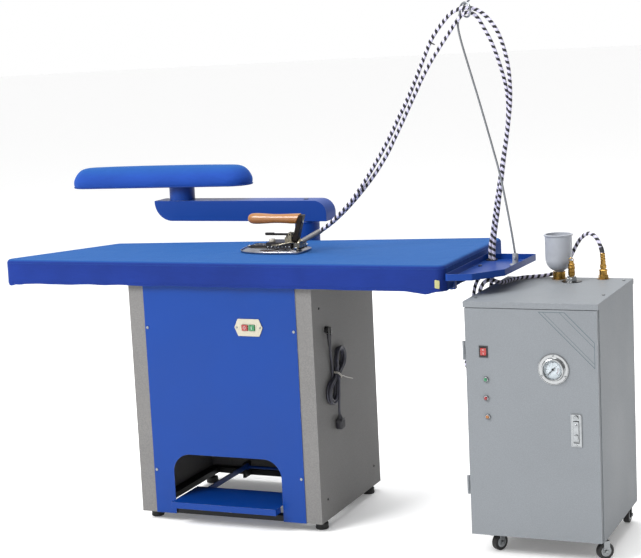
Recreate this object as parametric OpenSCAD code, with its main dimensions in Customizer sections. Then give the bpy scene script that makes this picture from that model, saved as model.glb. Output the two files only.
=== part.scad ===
// Steam ironing station: a vacuum ironing table with a swinging sleeve arm, a steam iron on its
// hose pole, and the steam generator that feeds it.
// Millimetres, +Z up, origin on the floor under the middle of the whole set, +X along the table
// towards the generator, -Y towards the person who irons.
// The modules draw in the table's own frame (x = 0 in the middle of the cabinet, y = 0 at its
// front face) and placed() moves them to the origin.

/* [Table] */
// Height of the padded top above the floor
top_h = 850; // [840:1:900]
// Width of the cabinet
cab_w = 632; // [620:2:640]
// Depth of the cabinet
cab_d = 505; // [500:1:510]
// Gap between the cabinet panels and the floor
leg_h = 29; // [27:1:32]
// Width of the front panel
panel_w = 526; // [520:2:530]
// Height of the foot opening in the front panel
arch_h = 198; // [180:1:210]
// Corner radius of the foot opening
arch_r = 60; // [40:1:70]
// Height of the padded slab from the hem to the top
slab_h = 78; // [76:1:82]
// Thickness of the pad and cover on the top
pad_t = 12; // [8:1:14]
// Thickness of the sheet steel
sheet = 2; // [1.5:0.5:2]

/* [Sleeve arm] */
// Diameter of the column behind the table
column_d = 84; // [80:1:86]
// Height of the underside of the arm
arm_z = 909; // [907:1:915]
// Height of the arm's box section
arm_h = 70; // [66:1:72]
// Width of the arm
arm_w = 84; // [80:1:86]
// Length of the sleeve pad
buck_l = 664; // [640:1:680]
// Width of the sleeve pad
buck_w = 140; // [120:1:150]

/* [Iron] */
// Length of the soleplate
sole_l = 226; // [215:1:230]
// Width of the soleplate
sole_w = 126; // [118:1:128]
// Thickness of the soleplate
sole_t = 16; // [14:0.5:17]
// Largest diameter of the wooden handle
handle_d = 35; // [30:1:36]
// Diameter of the braided steam hose
hose_d = 12; // [10:0.5:12]

/* [Generator] */
// Width of the generator case
gen_w = 391; // [388:1:394]
// Depth of the generator case
gen_d = 450; // [448:1:452]
// Height of the generator above the floor, without its fittings
gen_h = 757; // [750:1:760]
// Height of the underside of the case above the floor
gen_foot = 62; // [60:1:64]
// Diameter of the castor wheels
wheel_d = 50; // [48:1:50]
// Diameter of the pressure gauge's flange
gauge_d = 90; // [84:1:94]
// Diameter of the filling funnel
funnel_d = 82; // [76:1:84]

/* [Hidden] */
$fn = 48;

// Middle of the whole set in the table's frame
mid_x = 215.48;
mid_y = 276.38;

// Colours
royal = "#1f56b0";
cloth = "#2f62bd";
pale_grey = "#9a9a9c";
case_grey = "#a3a7aa";
steel = "#b8babc";
dark = "#2c2c2e";
wood = "#c98a3a";
brass = "#b08d4a";

// Table heights and outline
hem_z = top_h - slab_h;
box_z = hem_z + 4;
box_top = top_h - pad_t;
table_outline = [[-782, -22], [750, -22], [750, 584], [-560, 379]];
corner_r = 24;
skirt_t = 5;
box_inset = 8;
fit = 0.05;
flange_x = panel_w / 2 - 23;
screw_x = panel_w / 2 - 9;
screw_zs = [171, 636];
arch_x = [-192, 186];

// Blower under the top
blow = [0, 250];
scroll_r = 155;
scroll_z = [560, 680];
neck_r = 67;
flap_z = 730;
rod_at = [186, 240.7];

// Foot pedal
pedal_x = [-186, 180];
pedal_y = [-45, 138];
pedal_z = 80;
hinge_at = [440, 66];

// Push buttons
button_z = 645.5;
button_xs = [90, 114];
button_size = [20, 18];

// Sleeve arm
column_at = [72, 555];
post_at = [-397, 555];
arm_x = [-486, 161];
buck_z = 1030;

// Iron
iron_y = 215;
sole_x = -14;
sole_z = top_h + 0.3;
body_z = sole_z + sole_t;
pivot_at = [164, 907];
grip_z = 957;

// Side tray and hose pole
tray_z = 805;
tray_outline = [[752, -20], [831, -4], [902, 90], [912, 396], [752, 396]];
tray_hole = [774, 374];
pole_at = [879, 278];
pole_r = 3.5;
ring_at = [749, 278, 1582];
ring_r = 22;
ring_turn = 55;

// Generator
gen_x = [826, 826 + gen_w];
gen_y = [-79, -79 + gen_d];
door_t = 18;
lip_z = gen_h - 17;
door_hinge = [821.5, -72];
gauge_at = [1087, 568];
rocker_at = [882, 612];
lamps_at = [[887, 531], [886, 476], [889, 421]];
lock_at = [1149, 393.5];
funnel_at = [997, 343];
valve_at = [1049, 292];
outlet_at = [1131, 354];
boiler_at = [1085, 240];
lid_screws = [[845, -20], [845, 340], [1199, 69], [1199, 328]];
wheel_w = 18;
trail = 24;
forks_at = [[878, -28], [1188, -28]];
fork_turns = [-30, -50];
rear_wheels = [[865, 343], [1192, 343]];

// Cords
mains_r = 4;
cable_r = 5.5;
hank_x = [317, 341];
hank_ends = [[180, 522, 50], [112, 424, 48]];
hose_route = [
  [207.5, 208.5, 888], [228, 212, 899], [256, 218, 914], [290, 226, 937], [325, 232, 968],
  [362, 238, 1006], [395, 243, 1048], [425, 248, 1092], [452, 252, 1134], [478, 255, 1176],
  [502, 258, 1218], [525, 260, 1262], [548, 262, 1304], [570, 264, 1348], [592, 266, 1396],
  [614, 268, 1446], [640, 270, 1500], [673, 272, 1544], [710, 270, 1578], [751, 280, 1588],
  [788, 288, 1576], [820, 295, 1544], [842, 302, 1504], [856, 310, 1454], [864, 318, 1400],
  [865, 326, 1346], [861, 334, 1294], [852, 341, 1240], [842, 347, 1186], [831, 351, 1126],
  [821, 355, 1066], [811, 358, 1010], [801, 362, 950], [790, 367, 896], [783, 371, 850],
  [780, 374, 805], [778, 369, 766], [774, 352, 722], [770, 326, 676], [768, 292, 640],
  [770, 252, 622], [776, 212, 626], [786, 180, 648], [796, 160, 684], [801, 150, 724],
  [808, 146, 757], [823, 150, 778], [840, 166, 779], [852, 190, 769], [860, 222, 764],
  [866, 256, 764], [876, 290, 764], [898, 320, 764], [930, 341, 764], [962, 361, 766],
  [988, 382, 775], [1008, 395, 796], [1024, 398, 825], [1040, 394, 854], [1058, 387, 878],
  [1080, 378, 892], [1101, 368, 888], [1117, 360, 870], [1128, 355, 842], [1131, 354, 812]
];
cable_route = [
  [201.5, 228.5, 887], [224, 231, 897], [254, 235, 912], [290, 242, 936], [326, 247, 966],
  [363, 252, 1002], [398, 256, 1040], [430, 259, 1078], [460, 261, 1118], [487, 263, 1160],
  [510, 264, 1202], [534, 265, 1246], [558, 266, 1292], [582, 267, 1338], [606, 268, 1384],
  [634, 269, 1430], [664, 271, 1474], [693, 272, 1513], [722, 272, 1551], [749, 280, 1574],
  [778, 285, 1562], [802, 293, 1519], [819, 300, 1482], [832, 310, 1438], [843, 322, 1390],
  [850, 334, 1342], [850, 346, 1288], [843, 356, 1226], [832, 363, 1170], [820, 368, 1116],
  [809, 372, 1062], [798, 375, 1008], [787, 377, 950], [778, 378, 896], [770, 377, 850],
  [768, 374, 805], [765, 364, 783], [758, 342, 767], [748, 314, 757], [744, 290, 738],
  [744, 270, 708], [746, 250, 672], [750, 230, 636], [752, 206, 600], [752, 180, 566],
  [753, 154, 538], [760, 131, 522], [777, 116, 513], [803, 110, 510]
];
lead_route = [
  [328, 98, 610], [328, 99, 592], [327, 102, 574], [326, 107, 556], [326, 113, 538],
  [326, 120, 520], [327, 128, 502]
];
tail_route = [[327, 134, 396], [327, 141, 376], [328, 148, 358], [328, 153, 340]];

// ---------- helpers ----------

// Moves the table's frame to the origin under the middle of the whole set
module placed() {
  translate([-mid_x, -mid_y, 0]) children();
}

// Box between two opposite corners
module block(low, high) {
  translate(low) cube(high - low);
}

// Cylinder along X, Y or Z from a start point
module rod_x(at, r, h) {
  translate(at) rotate([0, 90, 0]) cylinder(r = r, h = h);
}
module rod_y(at, r, h) {
  translate(at) rotate([-90, 0, 0]) cylinder(r = r, h = h);
}
module rod_z(at, r, h) {
  translate(at) cylinder(r = r, h = h);
}

// Straight round bar between two points
module bar(from, to, r) {
  run = to - from;
  length = norm(run);
  translate(from)
    rotate([0, acos(run[2] / length), atan2(run[1], run[0])])
      cylinder(r = r, h = length);
}

// Points of an outline whose corners are rounded with radius r
function unit(v) = v / norm(v);
function rounded(points, r, steps = 5) = [
  for (i = [0 : len(points) - 1])
    let (
      n = len(points),
      p = points[i],
      a = unit(points[(i + n - 1) % n] - p),
      b = unit(points[(i + 1) % n] - p),
      half = acos(a * b) / 2,
      centre = p + unit(a + b) * r / sin(half),
      start = p + a * r / tan(half) - centre,
      sweep = 180 - 2 * half
    )
    for (k = [0 : steps])
      let (turn = sweep * k / steps)
      centre + [
        start[0] * cos(turn) - start[1] * sin(turn),
        start[0] * sin(turn) + start[1] * cos(turn)
      ]
];

// Points of a convex outline drawn smaller by d on every side
function inset(points, d) = [
  for (i = [0 : len(points) - 1])
    let (
      n = len(points),
      p = points[i],
      a = unit(points[(i + n - 1) % n] - p),
      b = unit(points[(i + 1) % n] - p)
    )
    p + unit(a + b) * d / sin(acos(a * b) / 2)
];

// Round tube swept along a route as one closed polyhedron
function along(route, i) = unit(
  (i == 0) ? route[1] - route[0]
  : (i == len(route) - 1) ? route[i] - route[i - 1]
  : unit(route[i + 1] - route[i]) + unit(route[i] - route[i - 1])
);
function side_of(t, last) = unit(last - (last * t) * t);
function sides(route, i, last) =
  (i == len(route)) ? []
  : let (s = side_of(along(route, i), last)) concat([s], sides(route, i + 1, s));
module swept(route, r, n, first = [0, 1, 0]) {
  count = len(route);
  across = sides(route, 0, first);
  points = [
    for (i = [0 : count - 1])
      let (u = across[i], v = cross(along(route, i), u))
      for (k = [0 : n - 1])
        route[i] + r * (cos(360 * k / n) * u + sin(360 * k / n) * v)
  ];
  walls = [
    for (i = [0 : count - 2])
      for (k = [0 : n - 1])
        [i * n + k, (i + 1) * n + k, (i + 1) * n + (k + 1) % n, i * n + (k + 1) % n]
  ];
  start_cap = [[for (k = [0 : n - 1]) k]];
  end_cap = [[for (k = [n - 1 : -1 : 0]) (count - 1) * n + k]];
  polyhedron(points, concat(walls, start_cap, end_cap), convexity = 10);
}

// ---------- table cabinet ----------

module side_panel() {
  difference() {
    union() {
      block([cab_w / 2 - sheet, 0, leg_h], [cab_w / 2, cab_d, box_z]);
      block([flange_x, 0, leg_h], [cab_w / 2, sheet, box_z]);
      block([flange_x, cab_d - sheet, leg_h], [cab_w / 2, cab_d, box_z]);
    }
    for (z = screw_zs) rod_y([screw_x, -1, z], 2 + fit, 4);
    children();
  }
}

module left_side_panel() {
  color(pale_grey) mirror([1, 0, 0]) side_panel();
}

module right_side_panel() {
  color(pale_grey) side_panel() rod_x([cab_w / 2 - 4, 98, 626], 6 + fit, 8);
}

module foot_opening() {
  span = arch_x[1] - arch_x[0];
  translate([arch_x[0], -sheet - 1, leg_h - 1])
    rotate([90, 0, 0])
      mirror([0, 0, 1])
        linear_extrude(sheet + 2) {
          square([span, arch_h + 1 - arch_r]);
          translate([arch_r, 0]) square([span - 2 * arch_r, arch_h + 1]);
          for (x = [arch_r, span - arch_r])
            translate([x, arch_h + 1 - arch_r]) circle(r = arch_r, $fn = 64);
        }
}

module front_panel() {
  color(royal) difference() {
    block([-panel_w / 2, -sheet, leg_h], [panel_w / 2, 0, box_z]);
    foot_opening();
    block([74, -sheet - 1, 632], [130, 1, 659]);
    for (x = [-screw_x, screw_x], z = screw_zs) rod_y([x, -sheet - 1, z], 2 + fit, 4);
  }
}

module back_panel() {
  color(pale_grey) difference() {
    union() {
      block([-panel_w / 2, cab_d, leg_h], [panel_w / 2, cab_d + sheet, box_z]);
      block([-cab_w / 2 + sheet, 370, box_z - sheet], [cab_w / 2 - sheet, cab_d - sheet, box_z]);
      block([-flange_x, cab_d - sheet - 0.01, box_z - sheet], [flange_x, cab_d + 0.01, box_z]);
    }
    for (i = [0 : 5])
      block([60, cab_d - 1, 568 + i * 18], [150, cab_d + sheet + 1, 578 + i * 18]);
  }
}

module base_frame() {
  outer = cab_w / 2 - sheet - 2;
  color(dark) difference() {
    union() {
      block([-outer, 4, leg_h], [outer, 34, leg_h + 18]);
      block([-outer, cab_d - 34, leg_h], [outer, cab_d - 4, leg_h + 18]);
      for (s = [0, 1]) mirror([s, 0, 0])
        block([outer - 36, 34, leg_h], [outer, cab_d - 34, leg_h + 18]);
      for (x = [-161, 149])
        block([x, hinge_at[0] - 12, leg_h], [x + 10, cab_d - 30, hinge_at[1] + 14]);
    }
    rod_x([-170, hinge_at[0], hinge_at[1]], 5 + fit, 340);
    for (x = [-292, 292], y = [54, 451]) rod_z([x, y, leg_h - 1], 6 + fit, 20);
  }
}

module levelling_feet() {
  color(dark) for (x = [-292, 292], y = [54, 451]) {
    rod_z([x, y, 0], 20, leg_h - 9);
    rod_z([x, y, leg_h - 10], 6, 26);
  }
}

// ---------- top ----------

module vacuum_box() {
  color(steel) difference() {
    translate([0, 0, box_z]) linear_extrude(box_top - box_z)
      polygon(rounded(inset(table_outline, box_inset), corner_r));
    translate([0, 0, box_z + sheet]) linear_extrude(box_top - box_z - 2 * sheet)
      polygon(rounded(inset(table_outline, box_inset + sheet), corner_r));
    rod_z([blow[0], blow[1], box_z - 1], neck_r - 3, 4);
    for (x = [-480 : 120 : 600], y = [60 : 80 : 300])
      rod_z([x, y, box_top - 3], 8, 4, $fn = 24);
  }
}

module table_cover() {
  color(cloth) difference() {
    translate([0, 0, hem_z]) linear_extrude(slab_h) polygon(rounded(table_outline, corner_r + 4));
    translate([0, 0, hem_z - 1]) linear_extrude(box_top - hem_z + 1)
      polygon(rounded(inset(table_outline, skirt_t), corner_r));
    block([-cab_w / 2 - fit, 100, hem_z - 1], [cab_w / 2 + fit, cab_d + sheet + fit, box_z + fit]);
  }
}

// ---------- blower and pedal ----------

module blower_housing() {
  x = blow[0];
  y = blow[1];
  low = scroll_z[0];
  high = scroll_z[1];
  color(dark) difference() {
    union() {
      rod_z([x, y, low], scroll_r, high - low);
      block([x + 55, y, low], [x + scroll_r, cab_d - sheet, high]);
      rod_z([x, y, high - 1], neck_r, box_z - high + 1);
      rod_z([x, y, box_z - 4], neck_r + 20, 4);
      block([x + scroll_r - 2, y - 20, 600], [x + scroll_r + 43, y + 2, 606]);
    }
    rod_z([x, y, low + 3], scroll_r - 3, high - low - 6);
    block([x + 58, y, low + 3], [x + scroll_r - 3, cab_d + 1, high - 3]);
    rod_z([x, y, high - 4], neck_r - 3, box_z - high + 5);
    rod_z([x, y, low - 1], 20, 5);
    rod_x([x - neck_r - 1, y, flap_z], 4 + fit, 2 * neck_r + 2);
    rod_z([rod_at[0], rod_at[1], 590], 4 + fit, 30);
  }
}

module impeller() {
  color(steel) translate([blow[0], blow[1], 0]) {
    rod_z([0, 0, 420], 7, 160);
    rod_z([0, 0, 568], 20, 97);
    difference() {
      union() {
        rod_z([0, 0, 570], 120, 3);
        rod_z([0, 0, 660], 120, 3);
      }
      rod_z([0, 0, 659], 72, 5);
    }
    for (a = [0 : 30 : 330]) rotate(a) translate([76, 0, 572]) rotate(35)
      cube([44, 2.5, 89]);
  }
}

module blower_motor() {
  color(dark) translate([blow[0], blow[1], 0]) difference() {
    union() {
      rod_z([0, 0, 385], 75, 170);
      rod_z([0, 0, 554], 92, 6);
      block([70, -25, 430], [105, 25, 490]);
    }
    rod_z([0, 0, 415], 7 + fit, 150);
  }
}

module foot_pedal() {
  color(royal) difference() {
    union() {
      block([pedal_x[0], pedal_y[0], pedal_z - 2], [pedal_x[1], pedal_y[1], pedal_z]);
      block([pedal_x[0], pedal_y[0], pedal_z - 20], [pedal_x[1], pedal_y[0] + 2, pedal_z]);
      for (x = [pedal_x[0], pedal_x[1] - 2])
        block([x, pedal_y[0], pedal_z - 20], [x + 2, -6, pedal_z]);
      for (x = [-150, 140]) {
        block([x, 40, 62], [x + 6, hinge_at[0], pedal_z - 1]);
        rod_x([x, hinge_at[0], hinge_at[1]], 10, 6);
      }
      block([140, rod_at[1] - 15, 70], [198, rod_at[1] + 15, 74]);
      rod_x([-163, hinge_at[0], hinge_at[1]], 5, 324);
    }
    rod_z([rod_at[0], rod_at[1], 60], 6, 20);
  }
}

module pull_rod() {
  x = rod_at[0];
  y = rod_at[1];
  top = flap_z + 5;
  color(steel) {
    difference() {
      union() {
        rod_z([x, y, 58], 4, top - 58 - 7);
        rod_x([x - 3, y, top], 9.5, 6);
      }
      rod_x([x - 4, y, top], 5.5, 8);
    }
    rod_z([x, y, 75.2], 9, 4);
    rod_z([x, y, 64.5], 9, 4);
  }
}

module damper_flap() {
  y = blow[1];
  color(brass) {
    difference() {
      rod_z([blow[0], y, flap_z - 1], 62.4, 2);
      rod_x([-70, y, flap_z], 3, 140);
    }
    rod_x([-72, y, flap_z], 4, 250);
    rod_x([172, y, flap_z], 7, 6);
    rod_x([172, y - 10 * cos(30), flap_z + 5], 5, 6);
    rod_x([172, y - 10 * cos(30), flap_z + 5], 2.5, 20);
  }
}

// ---------- push buttons and fasteners ----------

module switch_plate() {
  hole = [button_size[0] + 0.6, button_size[1] + 0.6];
  color("#d8d3c0") difference() {
    union() {
      translate([102, -2, button_z]) rotate([90, 0, 0]) linear_extrude(3)
        polygon([[-48, 0], [-36, 27], [36, 27], [48, 0], [36, -27], [-36, -27]]);
      block([75, -2, 633], [129, 26, 658]);
    }
    for (x = button_xs)
      block([x - hole[0] / 2, -6, button_z - hole[1] / 2], [x + hole[0] / 2, 16, button_z + hole[1] / 2]);
  }
}

module push_button(x) {
  block([x - button_size[0] / 2, -9, button_z - button_size[1] / 2],
        [x + button_size[0] / 2, 9, button_z + button_size[1] / 2]);
}

module stop_button() {
  color("#c03028") push_button(button_xs[0]);
}

module start_button() {
  color("#2a8a4a") push_button(button_xs[1]);
}

module screw() {
  cylinder(r = 4.5, h = 2.4, $fn = 32);
  translate([0, 0, -8]) cylinder(r = 2, h = 9, $fn = 32);
}

module panel_screws() {
  color(steel) {
    for (x = [-screw_x, screw_x], z = screw_zs)
      translate([x, -sheet, z]) rotate([90, 0, 0]) screw();
    for (p = lid_screws) translate([p[0], p[1], gen_h]) screw();
  }
}

// ---------- mains lead ----------

module mains_cable() {
  color(dark) {
    swept(lead_route, mains_r, 8);
    swept(tail_route, mains_r, 8);
  }
}

module mains_hank() {
  color(dark) translate([hank_x[0], 0, 0]) rotate([90, 0, 90])
    linear_extrude(hank_x[1] - hank_x[0]) hull()
      for (e = hank_ends) translate([e[0], e[1]]) circle(r = e[2], $fn = 32);
}

module mains_plug() {
  color(dark) {
    block([317, 137, 296], [340, 171, 332]);
    rod_z([328, 153, 331], 8, 9);
    for (z = [305, 324]) rod_y([328, 170, z], 2.4, 19, $fn = 24);
  }
}

module cable_glands() {
  color(dark) {
    difference() {
      union() {
        rod_x([306, 98, 626], 6, 12);
        rod_x([316, 98, 626], 11, 12, $fn = 6);
        rod_x([316, 98, 626], 8, 12);
        rod_z([328, 98, 610], 8, 24);
      }
      rod_z([328, 98, 609], mains_r + fit, 14);
    }
    difference() {
      union() {
        rod_x([803, 110, 510], 9, 18);
        rod_x([814, 110, 510], 12, 12);
        rod_x([820, 110, 510], 8, 14);
      }
      rod_x([802, 110, 510], cable_r - 1, 40);
    }
  }
}

// ---------- side tray and hose pole ----------

module side_tray() {
  color(royal) difference() {
    union() {
      difference() {
        translate([0, 0, tray_z]) linear_extrude(20) polygon(rounded(tray_outline, 8));
        translate([0, 0, tray_z + sheet]) linear_extrude(20)
          polygon(rounded(inset(tray_outline, sheet), 6));
      }
      for (y = [60, 240]) {
        block([752, y, 767], [756, y + 20, tray_z + 4]);
        block([700, y, 767], [756, y + 20, 771]);
        block([700, y, 770], [735, y + 20, box_z]);
      }
    }
    rod_z([tray_hole[0], tray_hole[1], tray_z - 1], 17, 5);
  }
}

module pole_socket() {
  color("#c9ccd0") translate([pole_at[0], pole_at[1], tray_z + sheet]) difference() {
    union() {
      cylinder(r = 17, h = 4);
      cylinder(r = 9, h = 37);
    }
    translate([0, 0, 3]) cylinder(r = pole_r + fit, h = 40);
  }
}

// Pigtail ring: turns about its own axis while it moves along it, then leaves in a short tail
pole_rise = [
  [879, 278, 845], [874, 278, 880], [864, 278, 945], [852, 278, 1015], [838, 278, 1088],
  [820, 278, 1160], [799, 278, 1240], [776, 278, 1325], [752, 278, 1410], [731, 279, 1485],
  [721, 282, 1530], [722, 286, 1556]
];
ring_across = [sin(ring_turn), -cos(ring_turn), 0];
ring_axis = [cos(ring_turn), sin(ring_turn), 0];
function ring_point(k) =
  ring_at + ring_r * (cos(200 - k) * ring_across + [0, 0, sin(200 - k)])
  + (k / 430 - 0.5) * 14 * ring_axis;
pole_ring = [for (k = [0 : 21.5 : 430]) ring_point(k)];
pole_tail = [for (d = [12, 24, 36])
  ring_point(430) + d * (0.77 * ring_across + [0, 0, 0.42])];

module hose_pole() {
  color(steel) {
    rod_z([pole_at[0], pole_at[1], tray_z + sheet + 3], pole_r, 36);
    swept(concat(pole_rise, pole_ring, pole_tail), pole_r - 0.3, 8);
  }
}

// ---------- sleeve arm ----------

module column_socket() {
  x = column_at[0];
  y = column_at[1];
  r = column_d / 2;
  color(royal) difference() {
    union() {
      rod_z([x, y, 580], r, arm_z - 580 - 0.5);
      block([x - 60, cab_d + sheet, 590], [x + 60, cab_d + sheet + 12, 760]);
      block([x - 25, cab_d + sheet, 600], [x + 25, y, 750]);
    }
    rod_z([x, y, 820], r - 4, 100);
    rod_z([x, y, 584], r - 6, 232);
  }
}

module swing_arm() {
  span = arm_x[1] - arm_x[0];
  r_low = 66;
  r_high = 46;
  color(royal) difference() {
    union() {
      translate([arm_x[0], column_at[1] + arm_w / 2, arm_z]) rotate([90, 0, 0])
        linear_extrude(arm_w) {
          translate([r_low, 0]) square([span - r_low - r_high, arm_h]);
          translate([0, r_low]) square([span - r_high, arm_h - r_low]);
          translate([r_low, 0]) square([span - r_low, arm_h - r_high]);
          intersection() {
            translate([r_low, r_low]) circle(r = r_low, $fn = 72);
            square([r_low + 1, arm_h]);
          }
          intersection() {
            translate([span - r_high, arm_h - r_high]) circle(r = r_high, $fn = 72);
            translate([span - r_high - 1, 0]) square([r_high + 1, arm_h]);
          }
        }
      rod_z([column_at[0], column_at[1], arm_z - 84], column_d / 2 - 4 - fit, 90);
    }
    block([arm_x[0] + r_low, column_at[1] - arm_w / 2 + 3, arm_z + 3],
          [arm_x[1] - r_high, column_at[1] + arm_w / 2 - 3, arm_z + arm_h - 3]);
    rod_z([column_at[0], column_at[1], arm_z - 90], column_d / 2 - 8, 100);
    rod_z([post_at[0], post_at[1], arm_z + arm_h - 10], 20 + fit, 12);
  }
}

module buck_frame() {
  low = arm_z + arm_h + 0.4;
  color(royal) difference() {
    union() {
      rod_z([post_at[0], post_at[1], low - 20], 20, 21);
      rod_z([post_at[0], post_at[1], low], 44, buck_z - low);
      translate([post_at[0], post_at[1], buck_z]) rotate(6)
        block([-375, -40, 0], [215, 40, 8]);
    }
    rod_z([post_at[0], post_at[1], low - 21], 14, buck_z - low + 15);
  }
}

// Plan outline of the sleeve pad: straight sides and half-round ends
module pad_outline(grow, shift) {
  hull() {
    translate([shift - 404 + buck_w / 2 + grow, 0]) circle(r = buck_w / 2 - grow, $fn = 40);
    translate([shift + buck_l - 404 - buck_w / 2 - grow, 0]) circle(r = buck_w / 2 - grow, $fn = 40);
  }
}

module buck_cover() {
  layers = [[0, 10, 0], [6, 2, 0], [20, 0, 0], [38, 7, 0], [56, 20, 0], [67, 38, 0], [70, 52, 0]];
  color(cloth) translate([post_at[0], post_at[1], buck_z - 3]) rotate(6) difference() {
    hull() for (l = layers) translate([0, 0, l[0]]) linear_extrude(1) pad_outline(l[1], l[2]);
    block([-377, -42, -1], [217, 42, 11]);
    translate([0, 0, -1]) cylinder(r = 46, h = 6);
  }
}

// ---------- iron ----------

// Half width of the soleplate at distance d from its tip
function prow(d) = sole_w / 2 * sqrt(1 - pow(1 - min(d, 130) / 130, 2));
function sole_side(s) = [
  for (d = [0, 4, 12, 26, 46, 70, 100, 130, sole_l - 12, sole_l])
    [sole_x + d, iron_y + s * (prow(d) - (d > 130 ? 8 * (d - 130) / (sole_l - 130) : 0))]
];
function backwards(list) = [for (i = [len(list) - 1 : -1 : 1]) list[i]];

module iron_soleplate() {
  color(steel) translate([0, 0, sole_z]) linear_extrude(sole_t)
    polygon(concat(sole_side(-1), backwards(sole_side(1))));
}

module iron_body() {
  color(dark) difference() {
    union() {
      block([92, iron_y - 38, body_z], [178, iron_y + 38, body_z + 19]);
      block([30, iron_y - 24, body_z], [93, iron_y + 24, body_z + 8]);
    }
    rod_z([105, iron_y - 18, body_z + 9], 3 + fit, 12);
  }
}

module iron_bracket() {
  color(dark) translate([0, iron_y + 12, 0]) rotate([90, 0, 0]) linear_extrude(24)
    polygon([[170, body_z + 19], [188, body_z + 19], [212, grip_z + 12], [196, grip_z + 12]]);
}

module iron_handle() {
  ends = handle_d / 2;
  color(wood) difference() {
    translate([17, iron_y, grip_z]) rotate([0, 90, 0]) rotate_extrude($fn = 40)
      polygon([
        [0, 0], [ends * 0.55, 2], [ends * 0.85, 9], [ends, 24], [ends, 44], [ends * 0.9, 76],
        [ends * 0.82, 110], [ends * 0.86, 145], [ends * 0.95, 172], [ends * 0.95, 190], [0, 190]
      ]);
    translate([0, iron_y + 12.3, 0]) rotate([90, 0, 0]) linear_extrude(24.6)
      polygon([[180.5, 920], [195.8, grip_z + 12.3], [230, grip_z + 12.3], [230, 920]]);
  }
}

module iron_trigger() {
  x = pivot_at[0];
  z = pivot_at[1];
  color(dark) {
    block([76, iron_y - 6, z - 3], [x, iron_y + 6, z + 3]);
    rod_y([x, iron_y - 7, z], 5, 14);
    rod_y([x, iron_y - 11.5, z], 2.95, 23);
  }
}

module iron_valve() {
  x = pivot_at[0];
  z = pivot_at[1];
  cover_z = body_z + 19;
  color(brass) difference() {
    union() {
      block([146, iron_y - 12, cover_z], [168, iron_y + 12, cover_z + 13]);
      for (s = [-12, 7.6]) block([x - 6, iron_y + s, cover_z], [x + 5, iron_y + s + 4.4, z + 6]);
      block([180, iron_y - 26, body_z], [202, iron_y + 26, body_z + 16]);
      rod_z([191, iron_y + 18, body_z + 10], 7, 14);
      bar([193, 204, 879], [206, 208, 887], 8);
      bar([193.5, 226, 882], [200, 228, 886], 7);
    }
    rod_y([x, iron_y - 14, z], 3, 28);
  }
}

module iron_knob() {
  color("#e8e0d0") {
    rod_z([105, iron_y - 18, body_z + 10], 3, 12);
    rod_z([105, iron_y - 18, body_z + 19.4], 11, 9);
  }
}

module steam_hose() {
  color("#7a7d90") swept(hose_route, hose_d / 2, 8);
}

module iron_cable() {
  color("#5f6274") swept(cable_route, cable_r, 8);
}

// ---------- generator ----------

module gen_base() {
  color(dark) difference() {
    union() {
      block([gen_x[0] + 3, gen_y[0] + 22, gen_foot], [gen_x[1] - 3, gen_y[1] - 3, gen_foot + 3]);
      for (p = forks_at) rod_z([p[0], p[1], gen_foot - 5], 13, 10);
      for (p = rear_wheels) {
        for (s = [-13, 10]) block([p[0] + s, p[1] - 9, 18], [p[0] + s + 3, p[1] + 9, gen_foot]);
        rod_x([p[0] - 13, p[1], wheel_d / 2], 4, 26);
      }
    }
    for (p = forks_at) rod_z([p[0], p[1], gen_foot - 6], 6 + fit, 20);
  }
}

module gen_shell() {
  low = gen_foot;
  high = gen_h - 1.5;
  front = gen_y[0] + door_t + 0.5;
  color(case_grey) difference() {
    union() {
      for (x = [gen_x[0], gen_x[1] - sheet])
        block([x, front, low], [x + sheet, gen_y[1], high]);
      block([gen_x[0], gen_y[1] - sheet, low], [gen_x[1], gen_y[1], high]);
      block([gen_x[0], front, low], [gen_x[0] + 20, front + sheet, high]);
      block([gen_x[1] - 20, front, low], [gen_x[1], front + sheet, high]);
      for (z = [200, 600]) {
        rod_z([door_hinge[0], door_hinge[1], z], 4.5, 25);
        block([door_hinge[0] - 2, door_hinge[1], z], [door_hinge[0] + 3, front + 8, z + 25]);
        block([door_hinge[0], front, z], [gen_x[0] + 1, front + 8, z + 25]);
      }
    }
    for (z = [200, 600]) rod_z([door_hinge[0], door_hinge[1], z - 1], 2.4 + fit, 27);
    rod_x([gen_x[0] - 1, 110, 510], 8 + fit, 4);
    rod_y([900, gen_y[1] - 3, 120], 11, 5);
  }
}

module gen_lid() {
  out = 1.5;
  color(case_grey) difference() {
    block([gen_x[0] - out, gen_y[0] - out, lip_z], [gen_x[1] + out, gen_y[1] + out, gen_h]);
    block([gen_x[0], gen_y[0], lip_z - 1], [gen_x[1], gen_y[1], gen_h - out]);
    rod_z([valve_at[0], valve_at[1], gen_h - 5], 8 + fit, 10);
    rod_z([funnel_at[0], funnel_at[1], gen_h - 5], 14 + fit, 10);
    rod_z([outlet_at[0], outlet_at[1], gen_h - 5], 8 + fit, 10);
    for (p = lid_screws) rod_z([p[0], p[1], gen_h - 5], 2 + fit, 10);
  }
}

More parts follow.
